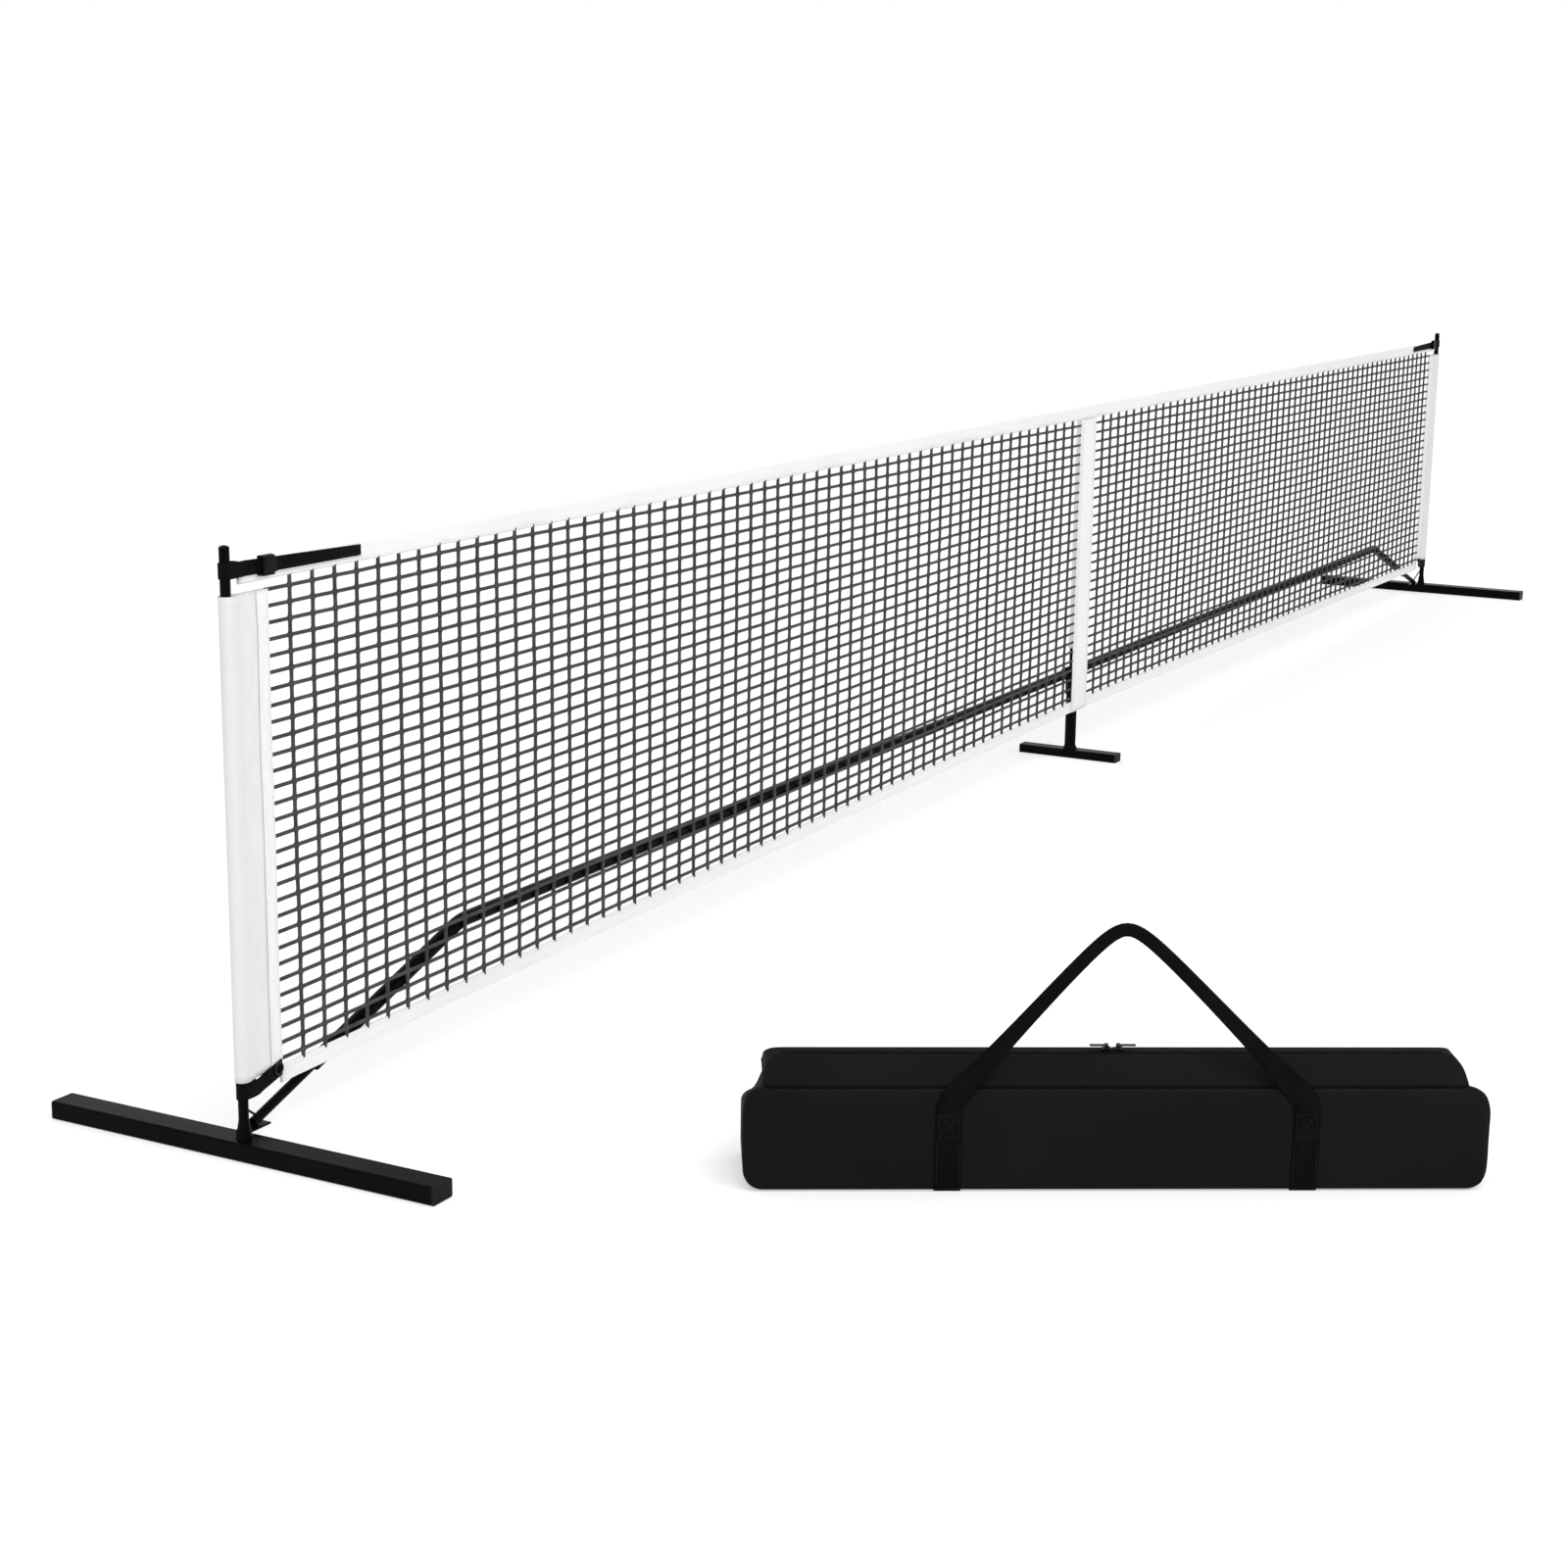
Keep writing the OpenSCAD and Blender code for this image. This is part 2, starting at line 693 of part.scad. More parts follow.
module buckle_cam() {
  bottom = top_strap_mid_h - buckle_h / 2;
  inner = ear_t + 0.4;
  translate([cam_u, -cam_y, bottom + inner]) cylinder(h = buckle_h - 2 * inner, r = cam_r, $fn = 48);
  translate([cam_u, -cam_y, bottom + 0.2]) cylinder(h = buckle_h - 0.4, r = cam_pin_r, $fn = 48);
  translate([cam_u, -cam_y - cam_r, bottom + inner]) {
    cube([lever_end_u - cam_u, lever_t, buckle_h - 2 * inner]);
  }
}

// Puts the bag's own axes in place: X along the bag, Y from its front to its back.
module at_bag() {
  translate([bag_x, bag_y, 0]) rotate([0, 0, bag_turn]) translate([0, -bag_d / 2, 0]) children();
}

// Cross-section of the bag's lower part, in Y and Z, grown inwards by a wall.
module bag_low_profile(wall) {
  r = bag_edge_r - wall;
  w = bag_d - 2 * wall;
  translate([bag_d / 2, bag_base_h + wall]) round_rect(w, bag_low_h - 2 * wall, r);
}

// The bag's lower part as a block, cut from its cross-section and its front outline.
module bag_low_block(wall) {
  intersection() {
    translate([-bag_len / 2, 0, 0]) rotate([90, 0, 90]) {
      linear_extrude(height = bag_len) bag_low_profile(wall);
    }
    across(-over, bag_d + over) translate([0, bag_base_h + wall]) {
      round_rect(bag_len - 2 * wall, bag_low_h - 2 * wall, bag_corner_r - wall);
    }
  }
}

module bag_body() {
  lid_w = bag_d - 2 * bag_edge_r;
  difference() {
    bag_low_block(0);
    bag_low_block(bag_wall);
    translate([-bag_len / 2 + bag_top_step + bag_wall, bag_edge_r + bag_wall, bag_low_top - bag_wall * 2]) {
      cube([bag_len - 2 * (bag_top_step + bag_wall), lid_w - 2 * bag_wall, bag_wall * 3]);
    }
  }
}

// The top part as a block: sloping front and back, round corners seen from the front.
module bag_top_block(wall) {
  low = bag_low_top + slip;
  high = bag_top_h - wall;
  y0 = bag_edge_r + wall;
  y1 = bag_edge_r + bag_top_slope;
  end = bag_len / 2 - bag_top_step - wall;
  r = bag_top_r - wall;
  intersection() {
    translate([-end, 0, 0]) rotate([90, 0, 90]) linear_extrude(height = 2 * end) {
      polygon([[y0, low], [bag_d - y0, low], [bag_d - y0, low + 6], [bag_d - y1 - wall, high],
               [y1 + wall, high], [y0, low + 6]]);
    }
    across(-over, bag_d + over) {
      translate([-end, low]) square([2 * end, high - low - r]);
      translate([-end + r, low]) square([2 * (end - r), high - low]);
      for (x = [-end + r, end - r]) {
        translate([x, high - r]) circle(r);
      }
    }
  }
}

module bag_top() {
  difference() {
    intersection() {
      bag_top_block(0);
      translate([-bag_len, 0, bag_low_top + slip]) cube([2 * bag_len, bag_d, bag_top_part_h]);
    }
    intersection() {
      translate([0, 0, -over]) bag_top_block(bag_wall);
      translate([-bag_len, 0, bag_low_top - over]) cube([2 * bag_len, bag_d, bag_top_part_h]);
    }
  }
}

// Webbing sewn under the bag and up its front and back.
module bag_webbing() {
  for (x = [handle_shift - handle_half, handle_shift + handle_half]) {
    translate([x - handle_w / 2, -handle_t - handle_gap, 0]) {
      cube([handle_w, handle_t, handle_base_h - 0.4]);
      cube([handle_w, bag_d + 2 * (handle_t + handle_gap), handle_t]);
      translate([0, bag_d + handle_t + 2 * handle_gap, 0]) {
        cube([handle_w, handle_t, handle_base_h - 0.4]);
      }
    }
  }
}

// Half of a handle's outline: a strap from its sewn end to the top.
module handle_side() {
  d = [handle_half, handle_rise - handle_w / 2];
  a = atan2(d[1], d[0]);
  difference() {
    translate([-handle_half, 0]) rotate(a) translate([-handle_w, -handle_w / 2]) {
      square([norm(d) + handle_w, handle_w]);
    }
    translate([-bag_len, -handle_w * 3]) square([2 * bag_len, handle_w * 3]);
  }
}

// The front handle where it stands, leaning in over the zip.
module standing_handle() {
  translate([handle_shift, -handle_gap, handle_base_h + handle_gap]) rotate([-handle_lean, 0, 0]) {
    across(-handle_t, 0) {
      handle_side();
      mirror([1, 0]) handle_side();
      translate([0, handle_rise - handle_w / 2]) circle(handle_w / 2);
    }
  }
}

// A handle folded outwards about its hinge line by an angle, from where it stands.
module handle(fold) {
  translate([0, -handle_hinge_y, handle_hinge_h]) rotate([fold, 0, 0]) {
    translate([0, handle_hinge_y, -handle_hinge_h]) standing_handle();
  }
}

module zip_tape() {
  translate([-zip_len / 2, bag_d / 2 - zip_w / 2, bag_top_h + slip]) cube([zip_len, zip_w, zip_t]);
}

// A zip slider, its body saddling the tape, with ears for its pull.
module zip_slider(dir) {
  base = bag_top_h + slip + zip_t + slip;
  ear_y = pull_w / 2 + 0.3;
  translate([dir * slider_off, bag_d / 2, 0]) difference() {
    union() {
      translate([-slider_len / 2, -slider_w / 2, base]) cube([slider_len, slider_w, slider_h - 2.4]);
      for (s = [-1, 1]) {
        translate([-3, s > 0 ? ear_y : -ear_y - pull_ear_t, base]) cube([6, pull_ear_t, slider_h + 3]);
      }
    }
    translate([0, -slider_w, pull_axis_h]) rotate([-90, 0, 0]) {
      cylinder(h = 2 * slider_w, r = pull_pin_r + run_fit, $fn = 32);
    }
  }
}

module zip_pull(dir) {
  reach = pull_w / 2 + 0.3 + pull_ear_t;
  translate([dir * slider_off, bag_d / 2, pull_axis_h]) {
    translate([0, -reach, 0]) rotate([-90, 0, 0]) cylinder(h = 2 * reach, r = pull_pin_r, $fn = 32);
    translate([dir > 0 ? 0 : -pull_len, -pull_w / 2, -pull_t / 2]) cube([pull_len, pull_w, pull_t]);
  }
}

module left_base_bar() { color(steel) at_end(-1) base_bar(end_bar_len, end_bar_w, end_bar_h); }
module right_base_bar() { color(steel) at_end(1) base_bar(end_bar_len, end_bar_w, end_bar_h); }
module centre_base_bar() {
  color(steel) translate([0, rail_y, 0]) base_bar(centre_bar_len, centre_bar_w, centre_bar_h);
}
module end_base_caps() {
  color(plastic) for (side = [-1, 1]) {
    at_end(side) bar_caps(end_bar_len, end_bar_w, end_bar_h);
  }
}
module centre_base_caps() {
  color(plastic) translate([0, rail_y, 0]) bar_caps(centre_bar_len, centre_bar_w, centre_bar_h);
}
module left_post_lower() { color(steel) at_end(-1) post_lower(); }
module right_post_lower() { color(steel) at_end(1) post_lower(); }
module left_post_upper() { color(steel) at_end(-1) post_upper(); }
module right_post_upper() { color(steel) at_end(1) post_upper(); }
module post_caps() {
  color(plastic) {
    for (side = [-1, 1]) {
      at_end(side) tube_cap(post_r, post_top_h);
    }
    translate([0, rail_y, 0]) tube_cap(centre_upper_r, centre_cap_top_h - cap_t - slip);
  }
}
module left_leg_strut() { color(steel) at_end(-1) leg_strut(); }
module right_leg_strut() { color(steel) at_end(1) leg_strut(); }
module brace_wires() { color(steel) for (side = [-1, 1]) { at_end(side) brace_wire(); } }
module left_bent_tube() { color(steel) at_end(-1) bent_tube(); }
module right_bent_tube() { color(steel) at_end(1) bent_tube(); }
module left_rail_outer() { color(steel) at_end(-1) rail(bend_u + bent_tail, rail_len); }
module right_rail_outer() { color(steel) at_end(1) rail(bend_u + bent_tail, rail_len); }
module left_rail_inner() { color(steel) at_end(-1) rail(bend_u + bent_tail + rail_len, rail_len); }
module right_rail_inner() { color(steel) at_end(1) rail(bend_u + bent_tail + rail_len, rail_len); }
module button_springs() {
  color(zinc) {
    for (side = [-1, 1]) {
      at_end(side) {
        translate([0, 0, post_button_h]) leaf_spring(post_spigot_bore_r);
        along_leg() translate([leg_button_s, 0, 0]) rotate([0, 90, 0]) rotate([0, 0, 90]) {
          leaf_spring(strut_r - tube_wall);
        }
      }
    }
    translate([0, rail_y, centre_button_h]) rotate([0, 0, 90]) leaf_spring(tee_spigot_bore_r);
  }
}
module left_post_button() {
  color(zinc) at_end(-1) translate([0, 0, post_button_h]) snap_button(post_r, post_spigot_bore_r);
}
module right_post_button() {
  color(zinc) at_end(1) translate([0, 0, post_button_h]) snap_button(post_r, post_spigot_bore_r);
}
module centre_post_button() {
  color(zinc) translate([0, rail_y, centre_button_h]) rotate([0, 0, 90]) {
    snap_button(centre_upper_r, tee_spigot_bore_r);
  }
}
module leg_button(side) {
  color(zinc) at_end(side) along_leg() translate([leg_button_s, 0, 0]) rotate([0, 0, 90]) {
    snap_button(rail_r, strut_r - tube_wall);
  }
}
module left_leg_button() { leg_button(-1); }
module right_leg_button() { leg_button(1); }
module left_mesh() { color(twine) half_mesh(); }
module right_mesh() { color(twine) mirror([1, 0, 0]) half_mesh(); }
module left_sleeve() { color(white_cloth) at_end(-1) sleeve(); }
module right_sleeve() { color(white_cloth) at_end(1) sleeve(); }
module left_top_strap() { color(webbing) at_end(-1) top_strap(); }
module right_top_strap() { color(webbing) at_end(1) top_strap(); }
module left_bottom_strap() { color(webbing) at_end(-1) bottom_strap(); }
module right_bottom_strap() { color(webbing) at_end(1) bottom_strap(); }
module corner_rings() { color(zinc) for (side = [-1, 1]) { at_end(side) corner_ring(); } }
module buckle_frames() { color(plastic) for (side = [-1, 1]) { at_end(side) buckle_frame(); } }
module left_buckle_cam() { color(plastic) at_end(-1) buckle_cam(); }
module right_buckle_cam() { color(plastic) at_end(1) buckle_cam(); }
module front_handle() { color(webbing) at_bag() handle(0); }
module rear_handle() {
  color(webbing) at_bag() translate([0, bag_d, 0]) mirror([0, 1, 0]) handle(handle_fold);
}

left_base_bar();
right_base_bar();
centre_base_bar();
end_base_caps();
centre_base_caps();
left_post_lower();
right_post_lower();
left_post_upper();
right_post_upper();
color(steel) centre_post_lower();
color(plastic) centre_tee();
color(steel) centre_post_upper();
post_caps();
left_leg_strut();
right_leg_strut();
brace_wires();
left_bent_tube();
right_bent_tube();
left_rail_outer();
right_rail_outer();
left_rail_inner();
right_rail_inner();
button_springs();
left_post_button();
right_post_button();
centre_post_button();
left_leg_button();
right_leg_button();
left_mesh();
right_mesh();
color(white_cloth) top_band();
color(zinc) top_cable();
color(white_cloth) bottom_band();
left_sleeve();
right_sleeve();
color(white_cloth) centre_band();
left_top_strap();
right_top_strap();
left_bottom_strap();
right_bottom_strap();
corner_rings();
buckle_frames();
left_buckle_cam();
right_buckle_cam();
color(bag_cloth) at_bag() bag_body();
color(bag_cloth) at_bag() bag_top();
color(webbing) at_bag() bag_webbing();
color(webbing) at_bag() zip_tape();
front_handle();
rear_handle();
color(zinc) at_bag() zip_slider(-1);  // zip_slider_a
color(zinc) at_bag() zip_slider(1);  // zip_slider_b
color(zinc) at_bag() zip_pull(-1);  // zip_pull_a
color(zinc) at_bag() zip_pull(1);  // zip_pull_b
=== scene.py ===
"""Looks of the portable pickleball net: camera, light, finishes, and every soft or sewn piece."""

import json
import math

import bpy
from mathutils import Matrix, Vector, noise


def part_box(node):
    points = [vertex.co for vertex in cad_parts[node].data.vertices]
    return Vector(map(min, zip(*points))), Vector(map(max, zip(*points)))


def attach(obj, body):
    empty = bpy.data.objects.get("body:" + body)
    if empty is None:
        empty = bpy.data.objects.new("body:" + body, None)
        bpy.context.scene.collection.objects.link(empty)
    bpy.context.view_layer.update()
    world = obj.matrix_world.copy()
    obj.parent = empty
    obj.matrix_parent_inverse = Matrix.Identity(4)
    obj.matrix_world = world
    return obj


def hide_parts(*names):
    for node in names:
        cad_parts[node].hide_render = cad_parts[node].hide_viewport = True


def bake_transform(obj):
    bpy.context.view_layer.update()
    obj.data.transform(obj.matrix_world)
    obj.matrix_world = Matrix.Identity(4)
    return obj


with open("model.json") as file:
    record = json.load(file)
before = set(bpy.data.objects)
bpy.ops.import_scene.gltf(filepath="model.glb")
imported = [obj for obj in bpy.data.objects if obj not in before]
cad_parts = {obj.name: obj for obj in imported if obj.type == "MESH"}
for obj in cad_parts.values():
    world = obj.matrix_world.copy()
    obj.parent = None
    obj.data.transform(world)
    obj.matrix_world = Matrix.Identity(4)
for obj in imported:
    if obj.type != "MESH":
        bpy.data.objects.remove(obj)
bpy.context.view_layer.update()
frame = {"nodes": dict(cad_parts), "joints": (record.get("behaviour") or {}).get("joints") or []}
SCENE = bpy.context.scene

# ---------------------------------------------------------------- camera

CAMERA_AT = Vector((-6.368, -2.543, 1.483))
CAMERA_YAW = math.radians(28.146)
CAMERA_DOWN = math.radians(12.934)
CAMERA_ROLL = math.radians(0.718)
CAMERA_LENS = 61.2
CAMERA_SENSOR = 36.0


def make_camera():
    data = bpy.data.cameras.new("camera")
    data.lens = CAMERA_LENS
    data.sensor_width = CAMERA_SENSOR
    data.clip_end = 200.0
    ahead = Vector((math.cos(CAMERA_DOWN) * math.cos(CAMERA_YAW),
                    math.cos(CAMERA_DOWN) * math.sin(CAMERA_YAW),
                    -math.sin(CAMERA_DOWN)))
    level = ahead.cross(Vector((0, 0, 1))).normalized()
    upright = level.cross(ahead)
    right = level * math.cos(CAMERA_ROLL) + upright * math.sin(CAMERA_ROLL)
    up = upright * math.cos(CAMERA_ROLL) - level * math.sin(CAMERA_ROLL)
    camera = bpy.data.objects.new("camera", data)
    SCENE.collection.objects.link(camera)
    camera.matrix_world = Matrix(((right.x, up.x, -ahead.x, CAMERA_AT.x),
                                  (right.y, up.y, -ahead.y, CAMERA_AT.y),
                                  (right.z, up.z, -ahead.z, CAMERA_AT.z),
                                  (0, 0, 0, 1)))
    SCENE.camera = camera


make_camera()

# ---------------------------------------------------------------- materials


class Finish:
    """A node material: a Principled shader with bump and colour variation added step by step."""

    def __init__(self, name, color, roughness, metallic=0.0, sheen=0.0, specular=0.5):
        self.material = bpy.data.materials.new(name)
        self.material.use_nodes = True
        self.tree = self.material.node_tree
        self.shader = self.tree.nodes["Principled BSDF"]
        self.color = (*color, 1.0)
        self.shader.inputs["Base Color"].default_value = self.color
        self.shader.inputs["Roughness"].default_value = roughness
        self.shader.inputs["Metallic"].default_value = metallic
        self.shader.inputs["Sheen Weight"].default_value = sheen
        self.shader.inputs["Specular IOR Level"].default_value = specular
        coordinates = self.tree.nodes.new("ShaderNodeTexCoord")
        self.place = coordinates.outputs["Object"]
        self.height = None

    def turned(self, angle):
        """Turns the pattern's own axes about the vertical."""
        mapping = self.tree.nodes.new("ShaderNodeMapping")
        mapping.vector_type = "TEXTURE"
        mapping.inputs["Rotation"].default_value = (0, 0, angle)
        self.tree.links.new(self.place, mapping.inputs["Vector"])
        self.place = mapping.outputs["Vector"]
        return self

    def _noise(self, scale, detail):
        node = self.tree.nodes.new("ShaderNodeTexNoise")
        node.inputs["Scale"].default_value = scale
        node.inputs["Detail"].default_value = detail
        self.tree.links.new(self.place, node.inputs["Vector"])
        return node.outputs["Fac"]

    def _wave(self, pitch, direction):
        node = self.tree.nodes.new("ShaderNodeTexWave")
        node.bands_direction = direction
        node.inputs["Scale"].default_value = 0.314 / pitch
        self.tree.links.new(self.place, node.inputs["Vector"])
        return node.outputs["Fac"]

    def _bump(self, height, strength, distance):
        bump = self.tree.nodes.new("ShaderNodeBump")
        bump.inputs["Strength"].default_value = strength
        bump.inputs["Distance"].default_value = distance
        self.tree.links.new(height, bump.inputs["Height"])
        if self.height is not None:
            self.tree.links.new(self.height, bump.inputs["Normal"])
        self.height = bump.outputs["Normal"]
        self.tree.links.new(self.height, self.shader.inputs["Normal"])

    def grain(self, scale, distance, strength=0.5):
        """Bump from noise, in metres of relief."""
        self._bump(self._noise(scale, 3.0), strength, distance)
        return self

    def weave(self, pitch, distance, strength=0.6):
        """Bump from crossing threads one pitch apart, in metres."""
        waves = [self._wave(pitch, direction) for direction in "XYZ"]
        total = waves[0]
        for wave in waves[1:]:
            product = self.tree.nodes.new("ShaderNodeMath")
            product.operation = "MULTIPLY"
            self.tree.links.new(total, product.inputs[0])
            self.tree.links.new(wave, product.inputs[1])
            total = product.outputs[0]
        self._bump(total, strength, distance)
        return self

    def vary(self, scale, light, dark):
        """Lets the colour drift between dark and light times its value."""
        ramp = self.tree.nodes.new("ShaderNodeValToRGB")
        ramp.color_ramp.elements[0].position = 0.3
        ramp.color_ramp.elements[1].position = 0.7
        ramp.color_ramp.elements[0].color = (*[c * dark for c in self.color[:3]], 1)
        ramp.color_ramp.elements[1].color = (*[min(1, c * light) for c in self.color[:3]], 1)
        self.tree.links.new(self._noise(scale, 4.0), ramp.inputs["Fac"])
        self.tree.links.new(ramp.outputs["Color"], self.shader.inputs["Base Color"])
        return self

    def rub(self, scale, low, high):
        """Lets the roughness drift between two values."""
        spread = self.tree.nodes.new("ShaderNodeMapRange")
        spread.inputs["To Min"].default_value = low
        spread.inputs["To Max"].default_value = high
        self.tree.links.new(self._noise(scale, 4.0), spread.inputs["Value"])
        self.tree.links.new(spread.outputs["Result"], self.shader.inputs["Roughness"])
        return self


def bag_turn():
    """The bag's turn about the vertical, read from its handles' hinge line."""
    for joint in frame["joints"]:
        if joint["name"] == "front_handle_fold":
            return math.atan2(joint["axis"][1], joint["axis"][0])
    raise ValueError("front_handle_fold is missing")


BAG_TURN = bag_turn()

STEEL = Finish("powder_coated_steel", (0.0014, 0.0014, 0.0016), 0.32, specular=0.035)
STEEL.vary(18, 1.6, 0.7).rub(9, 0.26, 0.4).grain(900, 0.00025, 0.35)
PLASTIC = Finish("moulded_plastic", (0.0026, 0.0026, 0.0026), 0.5, specular=0.08)
PLASTIC.vary(40, 1.3, 0.85).grain(1600, 0.00015, 0.35)
ZINC = Finish("zinc_plated_steel", (0.62, 0.63, 0.65), 0.32, metallic=1.0)
ZINC.vary(60, 1.06, 0.86).rub(50, 0.25, 0.42)
WHITE = Finish("white_band_cloth", (0.735, 0.735, 0.745), 0.65, sheen=0.08)
WHITE.vary(3, 1.03, 0.97).weave(0.0012, 0.0003).grain(14, 0.002, 0.25)
SLEEVE = Finish("white_sleeve_cloth", (0.66, 0.66, 0.672), 0.7, sheen=0.08)
SLEEVE.vary(4, 1.04, 0.96).weave(0.0012, 0.0003).grain(12, 0.002, 0.3)
WHITE_THREAD = Finish("white_thread", (0.78, 0.78, 0.79), 0.6)
WHITE_THREAD.vary(200, 1.05, 0.92).grain(1500, 0.0002)
TWINE = Finish("net_twine", (0.05, 0.05, 0.053), 0.75, specular=0.12)
TWINE.vary(30, 1.35, 0.72).grain(700, 0.0006, 0.7)
WEBBING = Finish("black_webbing", (0.0022, 0.0022, 0.0023), 0.75, specular=0.05)
WEBBING.turned(BAG_TURN).vary(25, 1.5, 0.7).weave(0.0022, 0.0007, 0.8)
BLACK_THREAD = Finish("black_thread", (0.009, 0.009, 0.0095), 0.6, specular=0.15)
BLACK_THREAD.vary(200, 1.3, 0.8).grain(1500, 0.0002)
BAG_CLOTH = Finish("bag_cloth", (0.0062, 0.0062, 0.0065), 0.72, specular=0.04)
BAG_CLOTH.turned(BAG_TURN).vary(5, 1.2, 0.88).weave(0.0013, 0.0003).grain(11, 0.004, 0.35)
DARK_METAL = Finish("black_zinc", (0.012, 0.012, 0.013), 0.34, metallic=0.5, specular=0.2)
DARK_METAL.vary(90, 1.4, 0.8).rub(60, 0.26, 0.42)
ZIP_METAL = Finish("zip_metal", (0.006, 0.006, 0.0062), 0.38, metallic=0.4, specular=0.15)
ZIP_METAL.vary(90, 1.3, 0.8).rub(60, 0.28, 0.45)

NODE_FINISH = {
    "end_base_caps": PLASTIC, "centre_base_caps": PLASTIC, "post_caps": PLASTIC,
    "centre_tee": PLASTIC, "buckle_frames": PLASTIC, "left_buckle_cam": PLASTIC,
    "right_buckle_cam": PLASTIC, "button_springs": ZINC, "top_cable": ZINC,
    "corner_rings": DARK_METAL, "left_post_button": ZINC, "right_post_button": ZINC,
    "centre_post_button": ZINC, "left_leg_button": ZINC, "right_leg_button": ZINC,
    "zip_slider_a": ZIP_METAL, "zip_slider_b": ZIP_METAL, "zip_pull_a": ZIP_METAL,
    "zip_pull_b": ZIP_METAL,
}
for name, node in frame["nodes"].items():
    node.data.materials.clear()
    node.data.materials.append(NODE_FINISH.get(name, STEEL).material)

# ---------------------------------------------------------------- mesh tools


class Shape:
    """Gathers points and faces, and makes one object of them."""

    def __init__(self):
        self.points = []
        self.faces = []

    def loft(self, rings, close=False):
        """Skins rings of as many points each, with flat ends; close joins the last ring to the first."""
        start, n = len(self.points), len(rings[0])
        for ring in rings:
            self.points.extend(ring)
        for k in range(len(rings) - (0 if close else 1)):
            a = start + k * n
            b = start + ((k + 1) % len(rings)) * n
            for i in range(n):
                j = (i + 1) % n
                self.faces.append((a + i, a + j, b + j, b + i))
        if not close:
            last = start + (len(rings) - 1) * n
            self.faces.append(tuple(reversed(range(start, start + n))))
            self.faces.append(tuple(range(last, last + n)))

    def block(self, centre, along, side, up):
        """A small six-sided block from its centre and three half axes, its far ends narrowed."""
        rings = []
        for s, grow in ((-1, 0.6), (-0.6, 1), (0.6, 1), (1, 0.6)):
            c = centre + along * s
            rings.append([c + (side * a + up * b) * grow for a, b in ((-1, -1), (1, -1), (1, 1), (-1, 1))])
        self.loft(rings)

    def make(self, name, finish, body, slot, *nodes, smooth=True):
        data = bpy.data.meshes.new(name)
        data.from_pydata([tuple(p) for p in self.points], [], self.faces)
        data.validate()
        data.materials.append(finish.material)
        data.polygons.foreach_set("use_smooth", [smooth] * len(data.polygons))
        piece = bpy.data.objects.new(name, data)
        SCENE.collection.objects.link(piece)
        if body:
            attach(piece, body)
        if nodes:
            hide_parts(*nodes)
        return piece


def clamp(t):
    return max(0.0, min(1.0, t))


def smooth_step(t):
    t = clamp(t)
    return t * t * (3 - 2 * t)


def ring_round(centre, side, up, radius, sides):
    step = 2 * math.pi / sides
    return [centre + side * (radius * math.cos(i * step)) + up * (radius * math.sin(i * step))
            for i in range(sides)]


WOBBLE_SEED = 5
noise.seed_set(WOBBLE_SEED)  # without it noise_vector's offsets come from the clock


def wobble(point, scale, amount):
    """Smooth, repeatable drift in all three directions."""
    return noise.noise_vector(point * scale) * amount


def stitches(shape, points, normal, pitch=0.006, length=0.0042, width=0.0005, lift=0.0002):
    """Thread runs along a line of points, one short raised stitch each pitch."""
    for a, b in zip(points, points[1:]):
        run = b - a
        count = int(run.length / pitch)
        along = run.normalized()
        side = along.cross(normal)
        for k in range(count):
            centre = a + along * ((k + 0.5) * pitch) + normal * lift
            shape.block(centre, along * (length / 2), side * width, normal * width * 0.8)


# ---------------------------------------------------------------- the net

POST_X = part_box("right_post_lower")[0].x / 2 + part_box("right_post_lower")[1].x / 2
NET_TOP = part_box("top_band")[1].z
MESH_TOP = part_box("top_band")[0].z
MESH_OUTER = -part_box("left_mesh")[0].x
MESH_INNER = -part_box("left_mesh")[1].x
HEM_LOW_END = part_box("bottom_band")[0].z
HEM_HIGH_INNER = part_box("bottom_band")[1].z
HEM_HEIGHT = 0.029
HEM_RISE = 0.036

ROWS = 30
COLUMNS = 58
FIRST_ROW = MESH_TOP - 0.014
LAST_ROW_ABOVE_HEM = 0.011
ROW_TWINE = 0.0031
COLUMN_TWINE = 0.0031
TWINE_SIDES = 6
KNOT = 0.0047
KNOT_ALONG_ROW = 0.007
KNOT_ALONG_COLUMN = 0.006
TWINE_INTO_EDGE = 0.004
# Share of the unevenness that goes front to back. The knots still meet the rails behind by up to 0.6 mm.
MESH_DEPTH_DRIFT = 0.25


def hem_bottom(x):
    """Height of the net's lower edge at a distance x from its centre."""
    return HEM_LOW_END + HEM_RISE * (1 - abs(x) / MESH_OUTER)


def row_height(x, k):
    last = hem_bottom(x) + HEM_HEIGHT + LAST_ROW_ABOVE_HEM
    return FIRST_ROW + (last - FIRST_ROW) * k / (ROWS - 1)


def mesh_point(x, z):
    """A point of the hanging netting, with its slight unevenness."""
    drift = wobble(Vector((x, 0, z)), 2.1, 0.004) + wobble(Vector((x, 9, z)), 17.0, 0.0012)
    return Vector((x + drift.x, drift.y * MESH_DEPTH_DRIFT, z + drift.z * 0.6))


